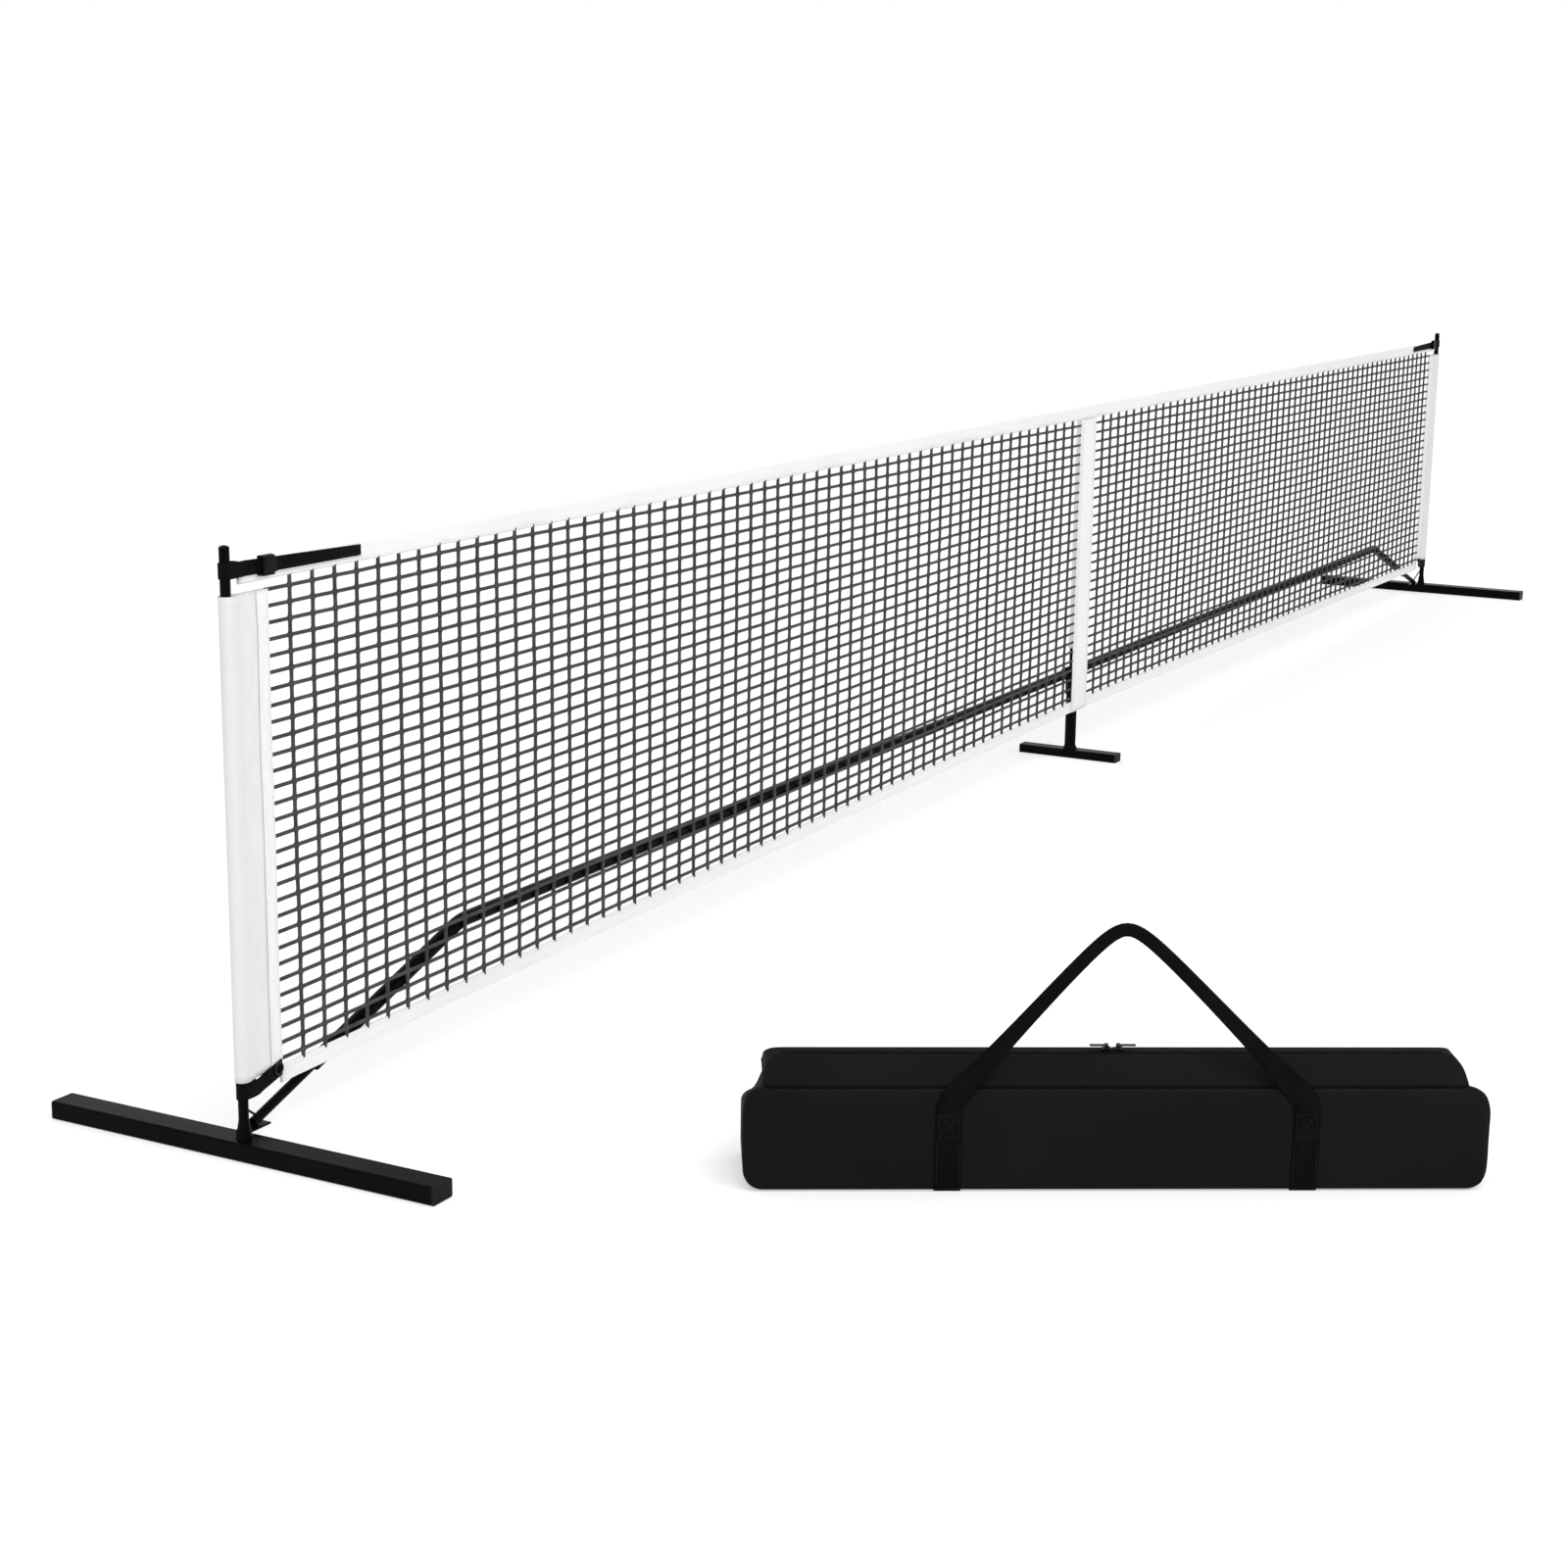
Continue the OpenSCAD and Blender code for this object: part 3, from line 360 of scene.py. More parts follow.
def half_netting(side):
    shape = Shape()
    pitch = (MESH_OUTER - MESH_INNER) / COLUMNS
    columns = [MESH_INNER + pitch * i for i in range(1, COLUMNS)]
    y_axis, z_axis, x_axis = Vector((0, 1, 0)), Vector((0, 0, 1)), Vector((1, 0, 0))
    for k in range(ROWS):
        stations = [(MESH_INNER - TWINE_INTO_EDGE, ROW_TWINE)]
        for x in columns:
            stations += [(x - KNOT_ALONG_ROW, ROW_TWINE), (x, KNOT), (x + KNOT_ALONG_ROW, ROW_TWINE)]
        stations.append((MESH_OUTER + TWINE_INTO_EDGE, ROW_TWINE))
        rings = [ring_round(mesh_point(side * x, row_height(x, k)), y_axis, z_axis, r, TWINE_SIDES)
                 for x, r in stations]
        shape.loft(rings)
    for x in columns:
        heights = [(MESH_TOP + 0.003, COLUMN_TWINE)]
        for k in range(ROWS):
            z = row_height(x, k)
            heights += [(z + KNOT_ALONG_COLUMN, COLUMN_TWINE), (z, KNOT),
                        (z - KNOT_ALONG_COLUMN, COLUMN_TWINE)]
        heights.append((hem_bottom(x) + HEM_HEIGHT - 0.003, COLUMN_TWINE))
        rings = [ring_round(mesh_point(side * x, z), x_axis, y_axis, r, TWINE_SIDES) for z, r in heights]
        shape.loft(rings)
    return shape


FOLD_CLOTH = 0.0006
BAND_PITCH = 0.009
BAND_STITCH = 0.006


def fold_outline(half_t, height):
    """Half of a folded strip's cross-section: its face's distance from the middle, open edge first."""
    outline = [(half_t * 0.5, 0.0), (half_t * 0.62, 0.004), (half_t * 0.62, height * 0.5),
               (half_t, height - half_t * 1.2)]
    for k in range(1, 4):
        angle = math.pi / 2 * k / 4
        outline.append((half_t * math.cos(angle), height - half_t * (1 - math.sin(angle))))
    return outline


def folded_band(x0, x1, open_edge, height, half_t, up):
    """A strip of cloth folded along X round its upper edge, or its lower one where up is -1."""
    shape = Shape()
    count = int(abs(x1 - x0) / 0.02)
    outer = fold_outline(half_t, height)
    inner = [(max(y - FOLD_CLOTH, 0.0002), min(h, height - FOLD_CLOTH)) for y, h in outer]
    section = [(-y, h) for y, h in outer] + [(0, height)] + [(y, h) for y, h in reversed(outer)]
    section += [(y, h) for y, h in inner] + [(0, height - FOLD_CLOTH)] + [(-y, h) for y, h in reversed(inner)]
    rings = []
    for i in range(count + 1):
        x = x0 + (x1 - x0) * i / count
        drift = wobble(Vector((x, 0, 0)), 9.0, 0.0009) + wobble(Vector((x, 5, 0)), 41.0, 0.0004)
        ring = [Vector((x, y + drift.y, open_edge(x) + up * h + drift.z * 0.5)) for y, h in section]
        rings.append(ring)
    shape.loft(rings)
    return shape


def make_netting():
    for side, name in ((-1, "left"), (1, "right")):
        half_netting(side).make(name + "_netting", TWINE, "net", "net_twine", name + "_mesh")


def make_bands():
    low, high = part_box("top_band")
    half_t = (high.y - low.y) / 2
    height = high.z - low.z - FOLD_CLOTH
    band = folded_band(low.x, high.x, lambda x: low.z, height, half_t, 1)
    piece = band.make("top_band_cloth", WHITE, "net", "white_cloth", "top_band")
    thread = Shape()
    for face in (-1, 1):
        line = [Vector((x, face * half_t * 0.66, low.z + 0.006)) for x in (low.x + 0.03, high.x - 0.03)]
        stitches(thread, line, Vector((0, face, 0)), pitch=BAND_PITCH, length=BAND_STITCH)
    thread.make("top_band_stitches", WHITE_THREAD, "net", "white_cloth")
    thread = Shape()
    for side, name in ((-1, "left"), (1, "right")):
        x0, x1 = side * MESH_INNER, side * MESH_OUTER
        band = folded_band(x0, x1, lambda x: hem_bottom(x) + HEM_HEIGHT, HEM_HEIGHT - FOLD_CLOTH, 0.0024, -1)
        nodes = ("bottom_band",) if side < 0 else ()
        piece = band.make(name + "_bottom_band_cloth", WHITE, "net", "white_cloth", *nodes)
        for face in (-1, 1):
            z = HEM_HEIGHT - 0.006
            line = [Vector((x, face * 0.0016, hem_bottom(x) + z)) for x in (x0, (x0 + x1) / 2, x1)]
            stitches(thread, line, Vector((0, face, 0)), pitch=BAND_PITCH, length=BAND_STITCH)
    thread.make("bottom_band_stitches", WHITE_THREAD, "net", "white_cloth")


SLEEVE_R = 0.0115
SLEEVE_CLOTH = 0.0013


def sleeve_outline(width):
    """Half-thickness of the sleeve at distances u from the post, post side first."""
    flat_u, flat_t, seam_t = width * 0.36, 0.0048, 0.003
    outline = []
    for k in range(13):
        angle = math.pi - (math.pi / 2) * k / 12
        outline.append((SLEEVE_R * math.cos(angle), SLEEVE_R * math.sin(angle)))
    for k in range(1, 9):
        t = k / 8
        outline.append((flat_u * t, SLEEVE_R + (flat_t - SLEEVE_R) * smooth_step(t)))
    for k in range(1, 7):
        outline.append((flat_u + (width - flat_u) * k / 6, flat_t + (seam_t - flat_t) * k / 6))
    return outline


def sleeve_push(at, u, y, z):
    """How far the sleeve's cloth stands off its plain outline, along Y."""
    free = clamp((u + 0.005) / 0.03)
    drift = wobble(Vector((at.x, y * 0.3, z)), 6.0, 0.0035) + wobble(at, 23.0, 0.0012)
    outward = 1 if y > 0 else -1
    return (drift.y * 0.5 + abs(drift.z) * outward * 0.4) * free


def sleeve_rings(side, outline, heights):
    """One ring of sleeve points for each height, from an outline in u and y."""
    rings = []
    for z in heights:
        ring = []
        for u, y in outline:
            at = Vector((side * (POST_X - u), y, z))
            ring.append(at + Vector((0, sleeve_push(at, u, y, z), 0)))
        rings.append(ring)
    return rings


BINDING_WIDTH = 0.028
BINDING_LIFT = 0.0007


def make_sleeve(side, name):
    low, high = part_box(name + "_sleeve")
    outer_u = POST_X - MESH_OUTER
    half = sleeve_outline(outer_u)
    full = half + [(u, -y) for u, y in reversed(half[1:])]
    inside = []
    for u, y in full:
        inner_u = max(-SLEEVE_R + SLEEVE_CLOTH, min(u, outer_u - 0.012))
        inside.append((inner_u, math.copysign(max(abs(y) - SLEEVE_CLOTH, 0.0003), y)))
    count = 70
    heights = [low.z + (high.z - low.z) * k / count for k in range(count + 1)]
    shape = Shape()
    shape.loft(sleeve_rings(side, full, heights) + sleeve_rings(side, inside, heights[::-1]), close=True)
    piece = shape.make(name + "_sleeve_cloth", SLEEVE, "net", "white_cloth", name + "_sleeve")
    make_sleeve_binding(side, name, outer_u, heights)
    thread = Shape()
    for face in (-1, 1):
        for u in (outer_u - 0.004, outer_u - BINDING_WIDTH + 0.004):
            line = []
            for z in heights[1:-1]:
                y = face * 0.0048
                at = Vector((side * (POST_X - u), y, z))
                line.append(at + Vector((0, sleeve_push(at, u, y, z) + face * BINDING_LIFT, 0)))
            stitches(thread, line, Vector((0, face, 0)), pitch=0.0055, length=0.0042)
    thread.make(name + "_sleeve_stitches", WHITE_THREAD, "net", "white_cloth")


def make_sleeve_binding(side, name, outer_u, heights):
    """The white strip folded over the sleeve's edge where the netting is sewn in."""
    profile = [(outer_u - BINDING_WIDTH * k / 6, 0.0034 + 0.0013 * k / 6) for k in range(7)]
    outer = [(u, y + BINDING_LIFT) for u, y in reversed(profile)]
    outer.append((outer_u + 0.0006, 0.002))
    outer += [(u, -y) for u, y in reversed(outer)]
    inner = [(u - (0.0005 if u > outer_u else 0), y - math.copysign(BINDING_LIFT * 0.8, y)) for u, y in outer]
    shape = Shape()
    shape.loft(sleeve_rings(side, outer + inner[::-1], heights))
    piece = shape.make(name + "_sleeve_binding", WHITE, "net", "white_cloth")


POCKET_LOW = 0.289


def make_centre_band():
    low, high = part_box("centre_band")
    half_w = (high.x - low.x) / 2
    front_y, back_y = low.y, low.y + 0.002
    bottom = low.z
    top = MESH_TOP - 0.0005
    shape = Shape()
    count = 60
    rings = []
    for k in range(count + 1):
        z = bottom + (top - bottom) * k / count
        ring = []
        outline = [(-half_w, back_y), (-half_w, front_y + 0.0006)]
        outline += [(-half_w + 2 * half_w * i / 12, front_y) for i in range(1, 12)]
        outline += [(half_w, front_y + 0.0006), (half_w, back_y)]
        outline += [(half_w - 2 * half_w * i / 12, back_y) for i in range(1, 12)]
        for x, y in outline:
            at = Vector((x, y, z))
            drift = wobble(Vector((x, 0, z)), 8.0, 0.0016) + wobble(Vector((x, 0, z)), 30.0, 0.0005)
            ring.append(at + Vector((0, min(drift.y, 0.0003), 0)))
        rings.append(ring)
    shape.loft(rings)
    piece = shape.make("centre_band_cloth", WHITE, "net", "white_cloth")
    post_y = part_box("centre_post_upper")[0].y / 2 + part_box("centre_post_upper")[1].y / 2
    pocket_high = high.z if high.z < MESH_TOP else MESH_TOP - 0.003
    pocket = Shape()
    outer, inner = high.y - post_y, high.y - post_y - 0.0018

    def pocket_ring(z, radius):
        front = back_y + outer - max(radius, inner)
        points = [Vector((-radius, front, z))]
        for k in range(17):
            angle = math.pi - math.pi * k / 16
            points.append(Vector((radius * math.cos(angle), post_y + radius * math.sin(angle), z)))
        points.append(Vector((radius, front, z)))
        return [p + Vector((0, abs(wobble(p, 11.0, 0.0012).y) * (radius == outer), 0)) for p in points]

    steps = 40
    heights = [POCKET_LOW + (pocket_high - POCKET_LOW) * k / steps for k in range(steps + 1)]
    rings = [pocket_ring(z, outer) for z in heights]
    rings += [pocket_ring(pocket_high + 0.0004, outer * share) for share in (0.6, 0.1)]
    rings += [pocket_ring(pocket_high - 0.0008, outer * share) for share in (0.1, 0.6)]
    rings += [pocket_ring(z - 0.001, inner) for z in reversed(heights[1:])]
    rings.append(pocket_ring(POCKET_LOW, inner))
    pocket.loft(rings, close=True)
    piece = pocket.make("centre_pocket_cloth", WHITE, "net", "white_cloth", "centre_band")
    thread = Shape()
    for x in (-half_w + 0.006, -half_w + 0.014, half_w - 0.014, half_w - 0.006):
        line = [Vector((x, front_y - 0.0006, z)) for z in (bottom + 0.005, top - 0.004)]
        stitches(thread, line, Vector((0, -1, 0)), pitch=0.008, length=0.0055)
    thread.make("centre_band_stitches", WHITE_THREAD, "net", "white_cloth")


# ---------------------------------------------------------------- straps

WEB = 0.0018
STRAP_R = 0.0093
LOOP_U = 0.016
TURN_U = 0.040
TAPER_START = 0.028
TOP_TAIL_Y = 0.0049
TOP_TIP_HALF = 0.0084
TOP_FALL = 0.005
BOTTOM_TAIL_Y = 0.007
BOTTOM_RISE = 0.015


def strap_path(tail_y, length):
    """The strap's middle line seen from above, in u from the post and y."""
    path = [(length, -tail_y), (length * 0.6 + TURN_U * 0.4, -tail_y), (TURN_U, -tail_y)]
    path += [(LOOP_U + (TURN_U - LOOP_U) * 0.5, -(tail_y + STRAP_R) / 2), (LOOP_U, -STRAP_R)]
    for k in range(13):
        angle = -math.pi / 2 - math.pi * k / 12
        path.append((STRAP_R * math.cos(angle), STRAP_R * math.sin(angle)))
    for k in range(11):
        angle = math.pi / 2 - (math.pi * 0.86) * k / 10
        path.append((LOOP_U + STRAP_R * math.cos(angle), STRAP_R * math.sin(angle)))
    return path


def fine_path(path, step):
    out = [path[0]]
    for a, b in zip(path, path[1:]):
        length = math.dist(a, b)
        count = max(1, int(length / step))
        out += [(a[0] + (b[0] - a[0]) * k / count, a[1] + (b[1] - a[1]) * k / count)
                for k in range(1, count + 1)]
    return out


def make_strap(side, name, tail_y, length, half_height, mid_height):
    shape = Shape()
    path = fine_path(strap_path(tail_y, length), 0.008)
    rings = []
    for i, (u, y) in enumerate(path):
        before, after = path[max(0, i - 1)], path[min(len(path) - 1, i + 1)]
        across = Vector((-(after[1] - before[1]), after[0] - before[0])).normalized() * (WEB / 2)
        half, mid = half_height(u), mid_height(u)
        ring = []
        for t in (-1, -0.5, 0, 0.5, 1):
            ring.append((u + across.x, y + across.y, mid + half * t))
        for t in (1, 0.5, 0, -0.5, -1):
            ring.append((u - across.x, y - across.y, mid + half * t))
        rings.append([Vector((side * (POST_X - pu), py, pz)) for pu, py, pz in ring])
    shape.loft(rings)
    piece = shape.make(name + "_webbing", WEBBING, "net", "black_webbing", name)
    runs = [math.dist(a, b) for a, b in zip(path, path[1:])]
    area = sum(run * 2 * half_height(a[0]) for run, a in zip(runs, path))
    2 * half_height(0)


def sewn_box(thread, centre, across, up):
    """A sewn box with its cross, from its middle and two half sides."""
    normal = across.cross(up).normalized()
    corners = [centre + across * a + up * b for a, b in ((-1, -1), (1, -1), (1, 1), (-1, 1))]
    lines = list(zip(corners, corners[1:] + corners[:1]))
    lines += [(corners[0], corners[2]), (corners[1], corners[3])]
    for a, b in lines:
        stitches(thread, [a, b], normal, pitch=0.0036, length=0.0026, width=0.0004)


def taper(u, length):
    """0 up to where a strap's taper starts, 1 at its sewn end."""
    return clamp((u - TAPER_START) / (length - TAPER_START))


def make_top_strap(side, end, thread):
    low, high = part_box(end + "_top_strap")
    length = POST_X - min(abs(low.x), abs(high.x))
    root, mid = (high.z - low.z) / 2, (low.z + high.z) / 2

    def half_at(u):
        return root + (TOP_TIP_HALF - root) * taper(u, length)

    def mid_at(u):
        return mid - TOP_FALL * taper(u, length)

    make_strap(side, end + "_top_strap", TOP_TAIL_Y, length, half_at, mid_at)
    sewn_box(thread, Vector((side * (POST_X - length + 0.03), -TOP_TAIL_Y - WEB / 2, mid_at(length))),
             Vector((0.022, 0, 0)), Vector((0, 0, 0.0052)))


def make_bottom_strap(side, end, thread):
    low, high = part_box(end + "_bottom_strap")
    length = POST_X - min(abs(low.x), abs(high.x))
    half = (high.z - low.z - BOTTOM_RISE) / 2
    base = low.z + half

    def mid_at(u):
        return base + BOTTOM_RISE * taper(u, length)

    make_strap(side, end + "_bottom_strap", BOTTOM_TAIL_Y, length, lambda u: half, mid_at)
    sewn_box(thread, Vector((side * (POST_X - length + 0.018), -BOTTOM_TAIL_Y - WEB / 2,
                             base + BOTTOM_RISE * 0.8)),
             Vector((0.012, 0, 0)), Vector((0, 0, half * 0.7)))


def make_straps():
    for side, end in ((-1, "left"), (1, "right")):
        thread = Shape()
        make_top_strap(side, end, thread)
        make_bottom_strap(side, end, thread)
        thread.make(end + "_strap_stitches", BLACK_THREAD, "net", "black_webbing")


# ---------------------------------------------------------------- the bag

BAG_CENTRE = (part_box("bag_body")[0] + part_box("bag_body")[1]) / 2
BAG_LENGTH = 1.12
BAG_DEPTH = 0.17
BAG_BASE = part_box("bag_body")[0].z
BAG_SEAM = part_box("bag_body")[1].z
BAG_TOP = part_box("bag_top")[1].z
BAG_STEP = 0.032
BAG_CORNER = 0.03
BAG_EDGE = 0.014
BASE_EDGE = 0.006
TOP_CORNER = 0.022
TOP_SLOPE = 0.055
HANDLE_SHIFT = 0.014
HANDLE_HALF = 0.268
WEBBING_WIDTH = 0.04
WEBBING_T = 0.0016
WEBBING_GAP = 0.0002
WEBBING_END = 0.143
BEND_FROM = 0.126
BEND_SIZE = 0.068


def bag_point(x, y, z):
    """From the bag's own axes, x along it and y from its middle to the back, to the row frame."""
    c, s = math.cos(BAG_TURN), math.sin(BAG_TURN)
    return Vector((BAG_CENTRE.x + x * c - y * s, BAG_CENTRE.y + x * s + y * c, z))


BAG_ALONG = bag_point(1, 0, 0) - bag_point(0, 0, 0)
BAG_BACK = bag_point(0, 1, 0) - bag_point(0, 0, 0)


def bag_stations(half, corner, count):
    """Places along the bag, closer together in its round ends, with the ends' inset."""
    places = [-half + corner * (1 - math.cos(math.pi / 2 * k / 10)) for k in range(11)]
    inner = half - corner
    places += [-inner + 2 * inner * k / count for k in range(1, count)]
    places += [-p for p in reversed(places[:11])]
    out = []
    for x in places:
        e = max(0.0, abs(x) - inner)
        out.append((x, corner - math.sqrt(max(0.0, corner * corner - e * e))))
    return out


def rounded_section(half_y, low, high, top_radius, base_radius, sides=6):
    """Outline in y and z of a box with round edges."""
    points = []
    corners = ((half_y - top_radius, high - top_radius, top_radius),
               (-half_y + top_radius, high - top_radius, top_radius),
               (-half_y + base_radius, low + base_radius, base_radius),
               (half_y - base_radius, low + base_radius, base_radius))
    for quarter, (cy, cz, radius) in enumerate(corners):
        for k in range(sides + 1):
            angle = math.pi / 2 * (quarter + k / sides)
            points.append((cy + radius * math.cos(angle), cz + radius * math.sin(angle)))
        ny, nz, next_radius = corners[(quarter + 1) % 4]
        a, b = points[-1], (ny + next_radius * math.cos(math.pi / 2 * (quarter + 1)),
                            nz + next_radius * math.sin(math.pi / 2 * (quarter + 1)))
        for k in range(1, 14):
            t = k / 14
            points.append((a[0] + (b[0] - a[0]) * t, a[1] + (b[1] - a[1]) * t))
    return points


def beside_webbing(x):
    """0 where the webbing holds the cloth flat, 1 away from it."""
    away = min(abs(x - HANDLE_SHIFT - HANDLE_HALF), abs(x - HANDLE_SHIFT + HANDLE_HALF))
    return smooth_step((away - WEBBING_WIDTH / 2) / 0.05)


def cloth_folds(x, z):
    """Slack of the bag's cloth: broad dents, with slanting creases over them."""
    broad = noise.noise(Vector((x * 4.2, 0, z * 9)))
    slanting = noise.noise(Vector((x * 9 + z * 22, 4, z * 6)))
    sharp = 1 - abs(noise.noise(Vector((x * 6 - z * 16, 8, z * 4)))) * 3
    return 0.0026 * broad + 0.0014 * slanting + 0.0013 * max(0.0, sharp)


END_SLUMP = 0.36


def slump(x, y, z):
    """How far the empty back corner of the bag's lower part has sunk at its ends."""
    end = smooth_step((abs(x) - BAG_LENGTH / 2 + BAG_STEP + 0.014) / 0.03)
    level = max(0.0, (z - BAG_BASE) / (BAG_SEAM - BAG_BASE))
    return END_SLUMP * max(0.0, y + BAG_DEPTH / 2 - 0.02) * end * level


def make_bag_body():
    shape = Shape()
    height = BAG_SEAM - BAG_BASE
    rings = []
    for x, inset in bag_stations(BAG_LENGTH / 2, BAG_CORNER, 170):
        low, high = BAG_BASE + inset, BAG_SEAM - inset
        radius = min(BAG_EDGE, (high - low) / 2 - 0.001)
        narrow = min(1.0, 0.93 + 0.07 * min(1.0, (BAG_LENGTH / 2 - abs(x)) / 0.008))
        ring = []
        for y, z in rounded_section(BAG_DEPTH / 2 * narrow, low, high, radius, min(radius, BASE_EDGE)):
            level = (z - BAG_BASE) / height
            free = math.sin(math.pi * clamp(level))
            sign = 1 if y > 0 else -1
            push = (cloth_folds(x + 3 * sign, z) + 0.0012) * free * (0.15 + 0.85 * beside_webbing(x))
            sag = wobble(Vector((x, y, z)), 5.0, 0.005).z * 0.25 * free
            ring.append(bag_point(x, y + sign * push, z + sag - slump(x, y, z)))
        rings.append(ring)
    shape.loft(rings)
    shape.make("bag_body_cloth", BAG_CLOTH, "bag", "bag_cloth", "bag_body")


def make_bag_top():
    shape = Shape()
    half = BAG_LENGTH / 2 - BAG_STEP
    seam_y = BAG_DEPTH / 2 - BAG_EDGE
    height = BAG_TOP - BAG_SEAM
    rings = []
    for x, inset in bag_stations(half, TOP_CORNER, 170):
        high = BAG_TOP - inset
        ridge_y = seam_y - TOP_SLOPE * (high - BAG_SEAM) / height
        slope = []
        for k in range(11):
            t = k / 10
            free = math.sin(math.pi * t) * min(1.0, (half - abs(x)) / 0.05)
            y = seam_y + (ridge_y - seam_y) * t + 0.0035 * math.sin(math.pi * t)
            slope.append((y, BAG_SEAM + (high - BAG_SEAM) * t, free))
        flat = [(ridge_y * (1 - 2 * k / 8), high, 0.0) for k in range(1, 8)]
        section = slope + flat + [(-y, z, free) for y, z, free in reversed(slope)]
        ring = []
        for y, z, free in section:
            dent = cloth_folds(x + (7 if y > 0 else 9), z + abs(y)) * 1.1 * free
            ring.append(bag_point(x, y + math.copysign(dent * 0.5, y), z + dent * 0.8 - 0.001 * free))
        rings.append(ring)
    shape.loft(rings)
    shape.make("bag_top_cloth", BAG_CLOTH, "bag", "bag_cloth", "bag_top")


PIPING_R = 0.0022
ZIP_GAP_HALF = 0.0022
ZIP_TAPE_HALF = 0.013
TOOTH_PITCH = 0.0032
TOOTH_OFFSET = 0.0008


def make_bag_seam():
    """The piped seam between the bag's lower and top parts, and its stitching; the piping is drawn in the
    darker webbing black as a painted shadow line under the top part's lower edge.
    """
    half_x, half_y, radius = BAG_LENGTH / 2 - BAG_STEP, BAG_DEPTH / 2 - BAG_EDGE, 0.012
    path = []
    for quarter, (cx, cy) in enumerate(((1, 1), (-1, 1), (-1, -1), (1, -1))):
        for k in range(7):
            angle = math.pi / 2 * (quarter + k / 6)
            path.append((cx * (half_x - radius) + radius * math.cos(angle),
                         cy * (half_y - radius) + radius * math.sin(angle)))
    path = fine_path(path + path[:1], 0.02)[:-1]
    rings = []
    for i, (x, y) in enumerate(path):
        before, after = path[i - 1], path[(i + 1) % len(path)]
        out = Vector((after[1] - before[1], before[0] - after[0])).normalized()
        side = BAG_ALONG * out.x + BAG_BACK * out.y
        middle = bag_point(x, y, BAG_SEAM + PIPING_R * 0.5)
        rings.append(ring_round(middle, side, Vector((0, 0, 1)), PIPING_R, 8))
    piping = Shape()
    piping.loft(rings, close=True)
    # Webbing black, darker than the bag cloth: the piping stands in for the shadow line under the top part's
    # edge, a painted shadow.
    piping.make("bag_piping_painted_shadow_line", WEBBING, "bag", "bag_cloth")
    thread = Shape()
    for face in (-1, 1):
        row_y = face * (half_y + 0.0062)
        line = [bag_point(-half_x + 0.02 + (2 * half_x - 0.04) * k / 40, row_y, BAG_SEAM - 0.0018)
                for k in range(41)]
        stitches(thread, line, (BAG_BACK * face + Vector((0, 0, 1))).normalized())
    thread.make("bag_seam_stitches", BLACK_THREAD, "bag", "bag_cloth")


def strap_bend(z):
    """How far the sewn webbing has turned inwards at a height, and its slope there."""
    above = max(0.0, z - BEND_FROM)
    return above * above / BEND_SIZE, 2 * above / BEND_SIZE


def make_bag_webbing():
    shape = Shape()
    front = BAG_DEPTH / 2 + WEBBING_GAP + WEBBING_T / 2
    heights = [WEBBING_END, 0.139, 0.135, 0.13, 0.126, 0.11, 0.08, 0.05, 0.02, 0.006]
    for sign in (-1, 1):
        x = HANDLE_SHIFT + sign * HANDLE_HALF
        line = [(-front, z) for z in heights] + [(-front + 0.004, WEBBING_T * 0.6), (0, WEBBING_T * 0.6)]
        line += [(-y, z) for y, z in reversed(line[:-1])]
        rings = []
        for i, (y, z) in enumerate(line):
            a, b = line[max(0, i - 1)], line[min(len(line) - 1, i + 1)]
            n = Vector((-(b[1] - a[1]), b[0] - a[0])).normalized() * (WEBBING_T / 2)
            shift, slope = strap_bend(z)
            across = Vector((1, sign * slope)).normalized() * (WEBBING_WIDTH / 2)
            ring = []
            for face, order in ((1, (-1, -0.5, 0, 0.5, 1)), (-1, (1, 0.5, 0, -0.5, -1))):
                for s in order:
                    ring.append(bag_point(x - sign * shift + across.x * s, y + n.x * face,
                                          max(0.0, z + n.y * face + across.y * s)))
            rings.append(ring)
        shape.loft(rings)
    shape.make("bag_webbing_straps", WEBBING, "bag", "black_webbing", "bag_webbing")
    thread = Shape()
    for face in (-1, 1):
        for sign in (-1, 1):
            x = HANDLE_SHIFT + sign * HANDLE_HALF
            across = BAG_ALONG * (-face * (WEBBING_WIDTH / 2 - 0.005))
            outside = face * (front + WEBBING_T / 2)
            sewn_box(thread, bag_point(x, outside, 0.104), across, Vector((0, 0, 0.018)))
            for s in (-1, 1):
                edge = x + s * (WEBBING_WIDTH / 2 - 0.003)
                line = [bag_point(edge, outside, 0.012), bag_point(edge, outside, 0.082)]
                stitches(thread, line, BAG_BACK * face)
    thread.make("bag_webbing_stitches", BLACK_THREAD, "bag", "black_webbing")


def make_zip():
    shape = Shape()
    half = 0.5 * (BAG_LENGTH - 2 * BAG_STEP - 2 * TOP_CORNER - 0.01)
    z = BAG_TOP + 0.0003
    for face in (-1, 1):
        near, far = face * ZIP_GAP_HALF, face * ZIP_TAPE_HALF
        section = ((near, z), (far, z), (far, z + 0.0009), (near, z + 0.0014))
        rings = []
        for k in range(61):
            x = -half + 2 * half * k / 60
            rings.append([bag_point(x, y, h) for y, h in section])
        shape.loft(rings)
    shape.make("zip_cloth_tape", WEBBING, "bag", "black_webbing", "zip_tape", smooth=False)
    teeth = Shape()
    for k in range(int(2 * half / TOOTH_PITCH)):
        x = -half + (k + 0.5) * TOOTH_PITCH
        offset = TOOTH_OFFSET if k % 2 else -TOOTH_OFFSET
        teeth.block(bag_point(x, offset, z + 0.0008),
                    BAG_ALONG * 0.0011, BAG_BACK * 0.0021, Vector((0, 0, 0.0007)))
    teeth.make("zip_teeth", BLACK_THREAD, "bag", "black_webbing", smooth=False)


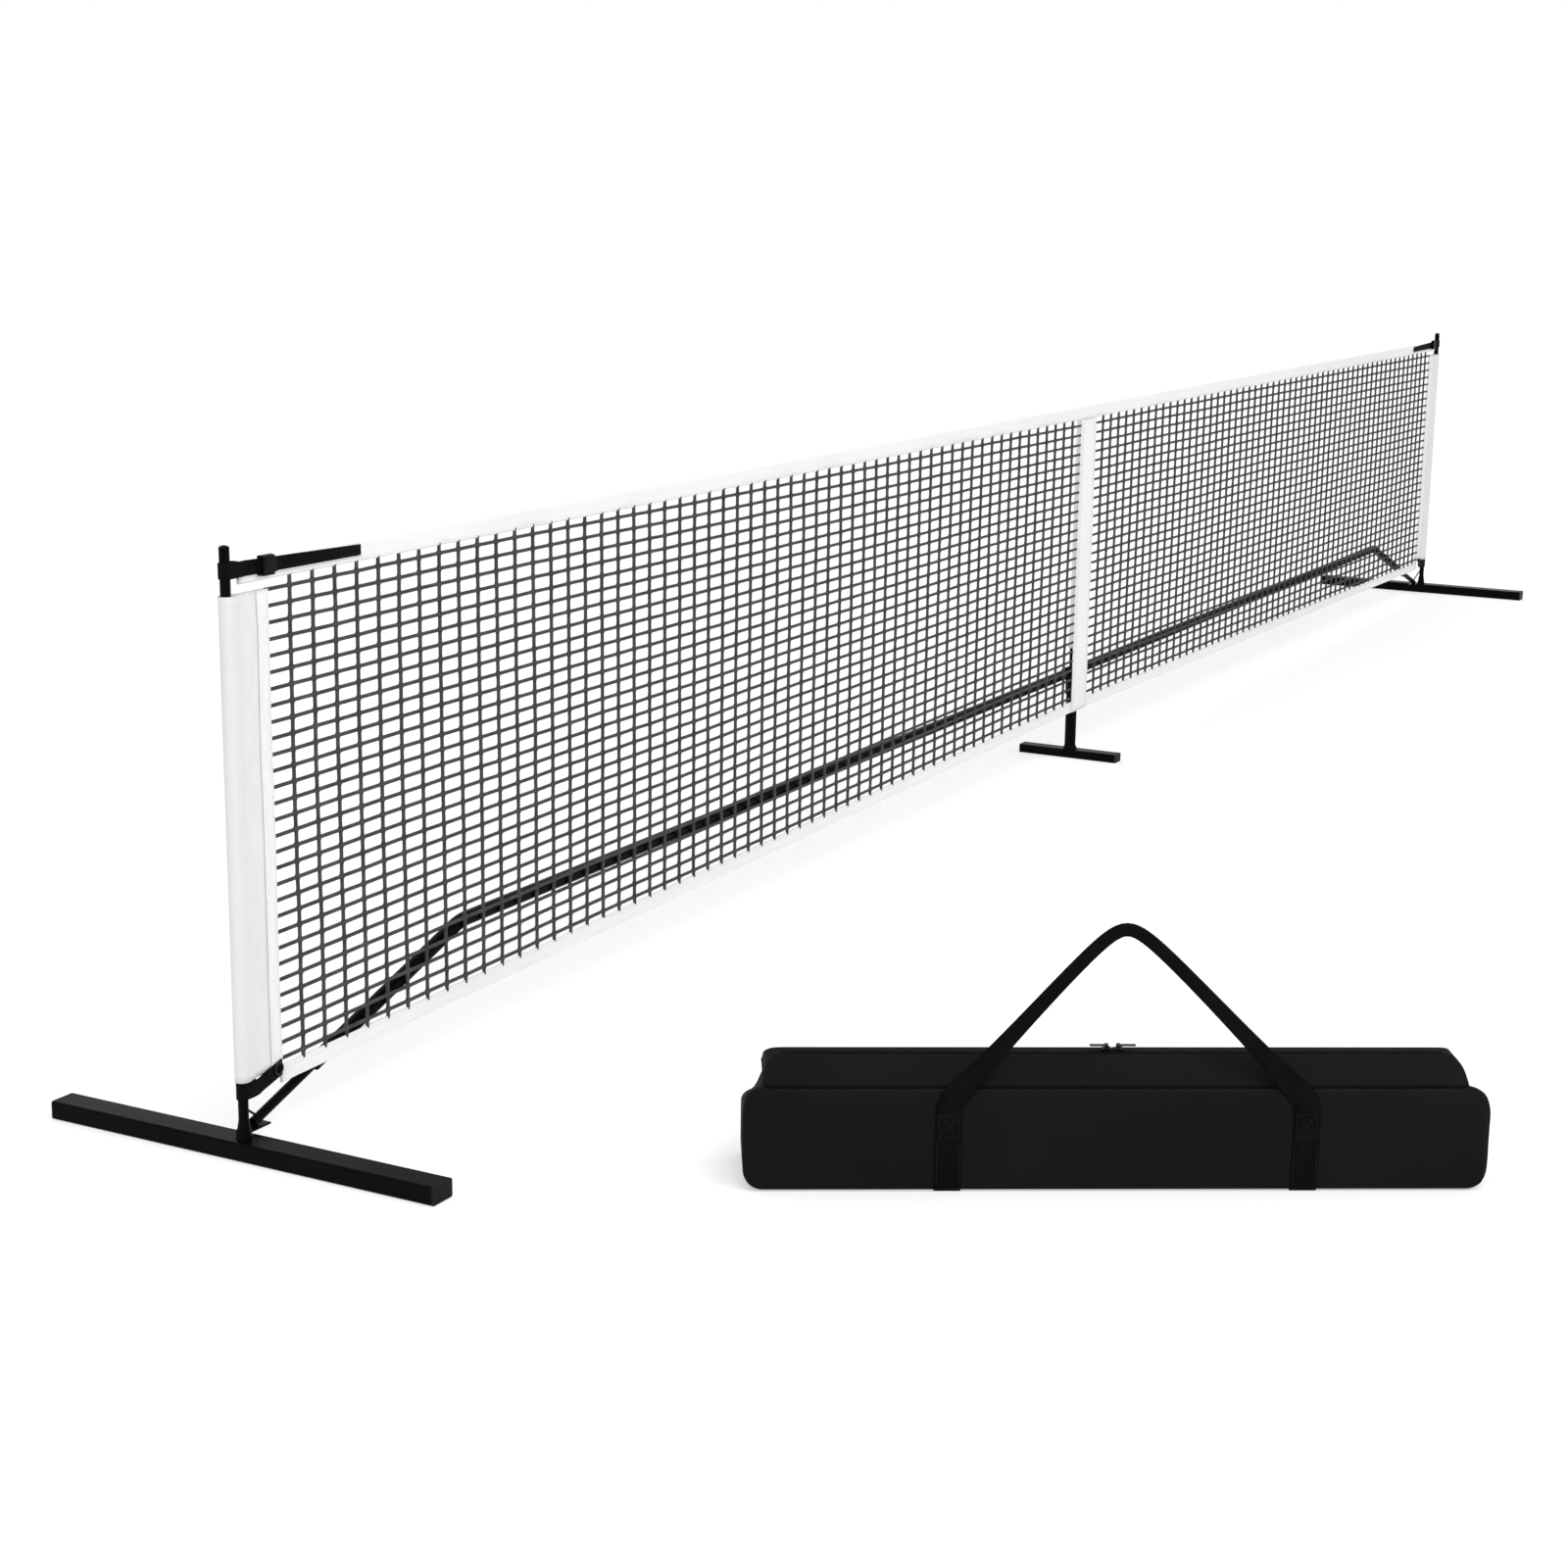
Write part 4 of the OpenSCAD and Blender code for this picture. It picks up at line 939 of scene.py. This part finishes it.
HINGE_Y = 0.08695
HINGE_Z = 0.1505
HINGE_SOFT = 0.004
HANDLE_LEAN = math.radians(19.37)
HANDLE_FOLD = math.radians(144.54)
HANDLE_APEX = 0.248
HANDLE_ROUND = 0.03
GRIP_WIDTH = 0.02
GRIP_HALF_T = 0.003
GRIP_FADE = 0.06


def handle_line():
    """Half of a handle's middle line: distance from its middle and height over the hinge, hinge first."""
    line = []
    for k in range(9):
        z = WEBBING_END + (HINGE_Z + 0.0095 - WEBBING_END) * k / 8
        line.append((HANDLE_HALF - strap_bend(z)[0], z - HINGE_Z))
    far, low = line[-1]
    fall = (HANDLE_APEX - low) / (math.hypot(far, HANDLE_ROUND) - HANDLE_ROUND)
    count = 36
    for k in range(1, count + 1):
        x = far * (1 - k / count)
        line.append((x, HANDLE_APEX - fall * (math.hypot(x, HANDLE_ROUND) - HANDLE_ROUND)))
    return line


def make_handle(face, name, fold):
    """A carry handle, face -1 in front and 1 behind, folded outwards by an angle from where it stands."""

    def turned(h, out):
        """Outward distance and height of a point of the standing handle after its lean and fold."""
        angle = (fold - HANDLE_LEAN) * smooth_step((h + HINGE_SOFT) / (2 * HINGE_SOFT))
        dy = BAG_DEPTH / 2 + WEBBING_GAP + out - HINGE_Y
        return (HINGE_Y + dy * math.cos(angle) + h * math.sin(angle),
                HINGE_Z - dy * math.sin(angle) + h * math.cos(angle))

    half = handle_line()
    line = [(-x, h) for x, h in half] + [(x, h) for x, h in reversed(half[:-1])]
    rings = []
    for i, (x, h) in enumerate(line):
        a, b = line[max(0, i - 1)], line[min(len(line) - 1, i + 1)]
        normal = Vector((-(b[1] - a[1]), b[0] - a[0])).normalized()
        gathered = 1 - math.exp(-max(0.0, h) / GRIP_FADE)
        width = WEBBING_WIDTH + (GRIP_WIDTH - WEBBING_WIDTH) * gathered
        half_t = WEBBING_T / 2 + (GRIP_HALF_T - WEBBING_T / 2) * gathered
        ring = []
        for thick, order in ((-1, (-1, -0.8, -0.4, 0, 0.4, 0.8, 1)), (1, (1, 0.8, 0.4, 0, -0.4, -0.8, -1))):
            for s in order:
                full = 1 - 0.7 * gathered * s ** 4
                y, z = turned(h + normal.y * width / 2 * s, half_t + thick * half_t * full)
                ring.append(bag_point(HANDLE_SHIFT + x + normal.x * width / 2 * s, face * y, max(0.0, z)))
        rings.append(ring)
    shape = Shape()
    shape.loft(rings)
    piece = shape.make(name + "_webbing", WEBBING, None, "black_webbing", name)
    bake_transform(piece)


def make_bag():
    make_bag_body()
    make_bag_top()
    make_bag_seam()
    make_bag_webbing()
    make_zip()
    make_handle(-1, "front_handle", 0.0)
    make_handle(1, "rear_handle", HANDLE_FOLD)


# ---------------------------------------------------------------- stage

FLOOR_REACH = 60
FLOOR_GLOW = 0.4
LAMP_AT = Vector((-5, -5, 6))
LAMP_AIM = Vector((-1.5, 0, 0))
LAMP_ENERGY = 260
LAMP_SIZE = 6


def make_stage():
    data = bpy.data.meshes.new("floor")
    corners = [(-FLOOR_REACH, -FLOOR_REACH, 0), (FLOOR_REACH, -FLOOR_REACH, 0),
               (FLOOR_REACH, FLOOR_REACH, 0), (-FLOOR_REACH, FLOOR_REACH, 0)]
    data.from_pydata(corners, [], [(0, 1, 2, 3)])
    floor = bpy.data.objects.new("floor", data)
    SCENE.collection.objects.link(floor)
    finish = Finish("floor", (0.62, 0.62, 0.62), 0.9, specular=0.0)
    finish.shader.inputs["Emission Color"].default_value = (1, 1, 1, 1)
    finish.shader.inputs["Emission Strength"].default_value = FLOOR_GLOW
    data.materials.append(finish.material)
    world = bpy.data.worlds.new("studio")
    world.use_nodes = True
    world.node_tree.nodes["Background"].inputs["Color"].default_value = (1, 1, 1, 1)
    world.node_tree.nodes["Background"].inputs["Strength"].default_value = 1.0
    SCENE.world = world
    lamp = bpy.data.lights.new("key", "AREA")
    lamp.energy = LAMP_ENERGY
    lamp.size = LAMP_SIZE
    key = bpy.data.objects.new("key", lamp)
    key.location = LAMP_AT
    key.rotation_euler = (LAMP_AIM - LAMP_AT).to_track_quat("-Z", "Y").to_euler()
    SCENE.collection.objects.link(key)
    SCENE.view_settings.view_transform = "Standard"


make_netting()
make_bands()
for SIDE, END in ((-1, "left"), (1, "right")):
    make_sleeve(SIDE, END)
make_centre_band()
make_straps()
make_bag()
make_stage()
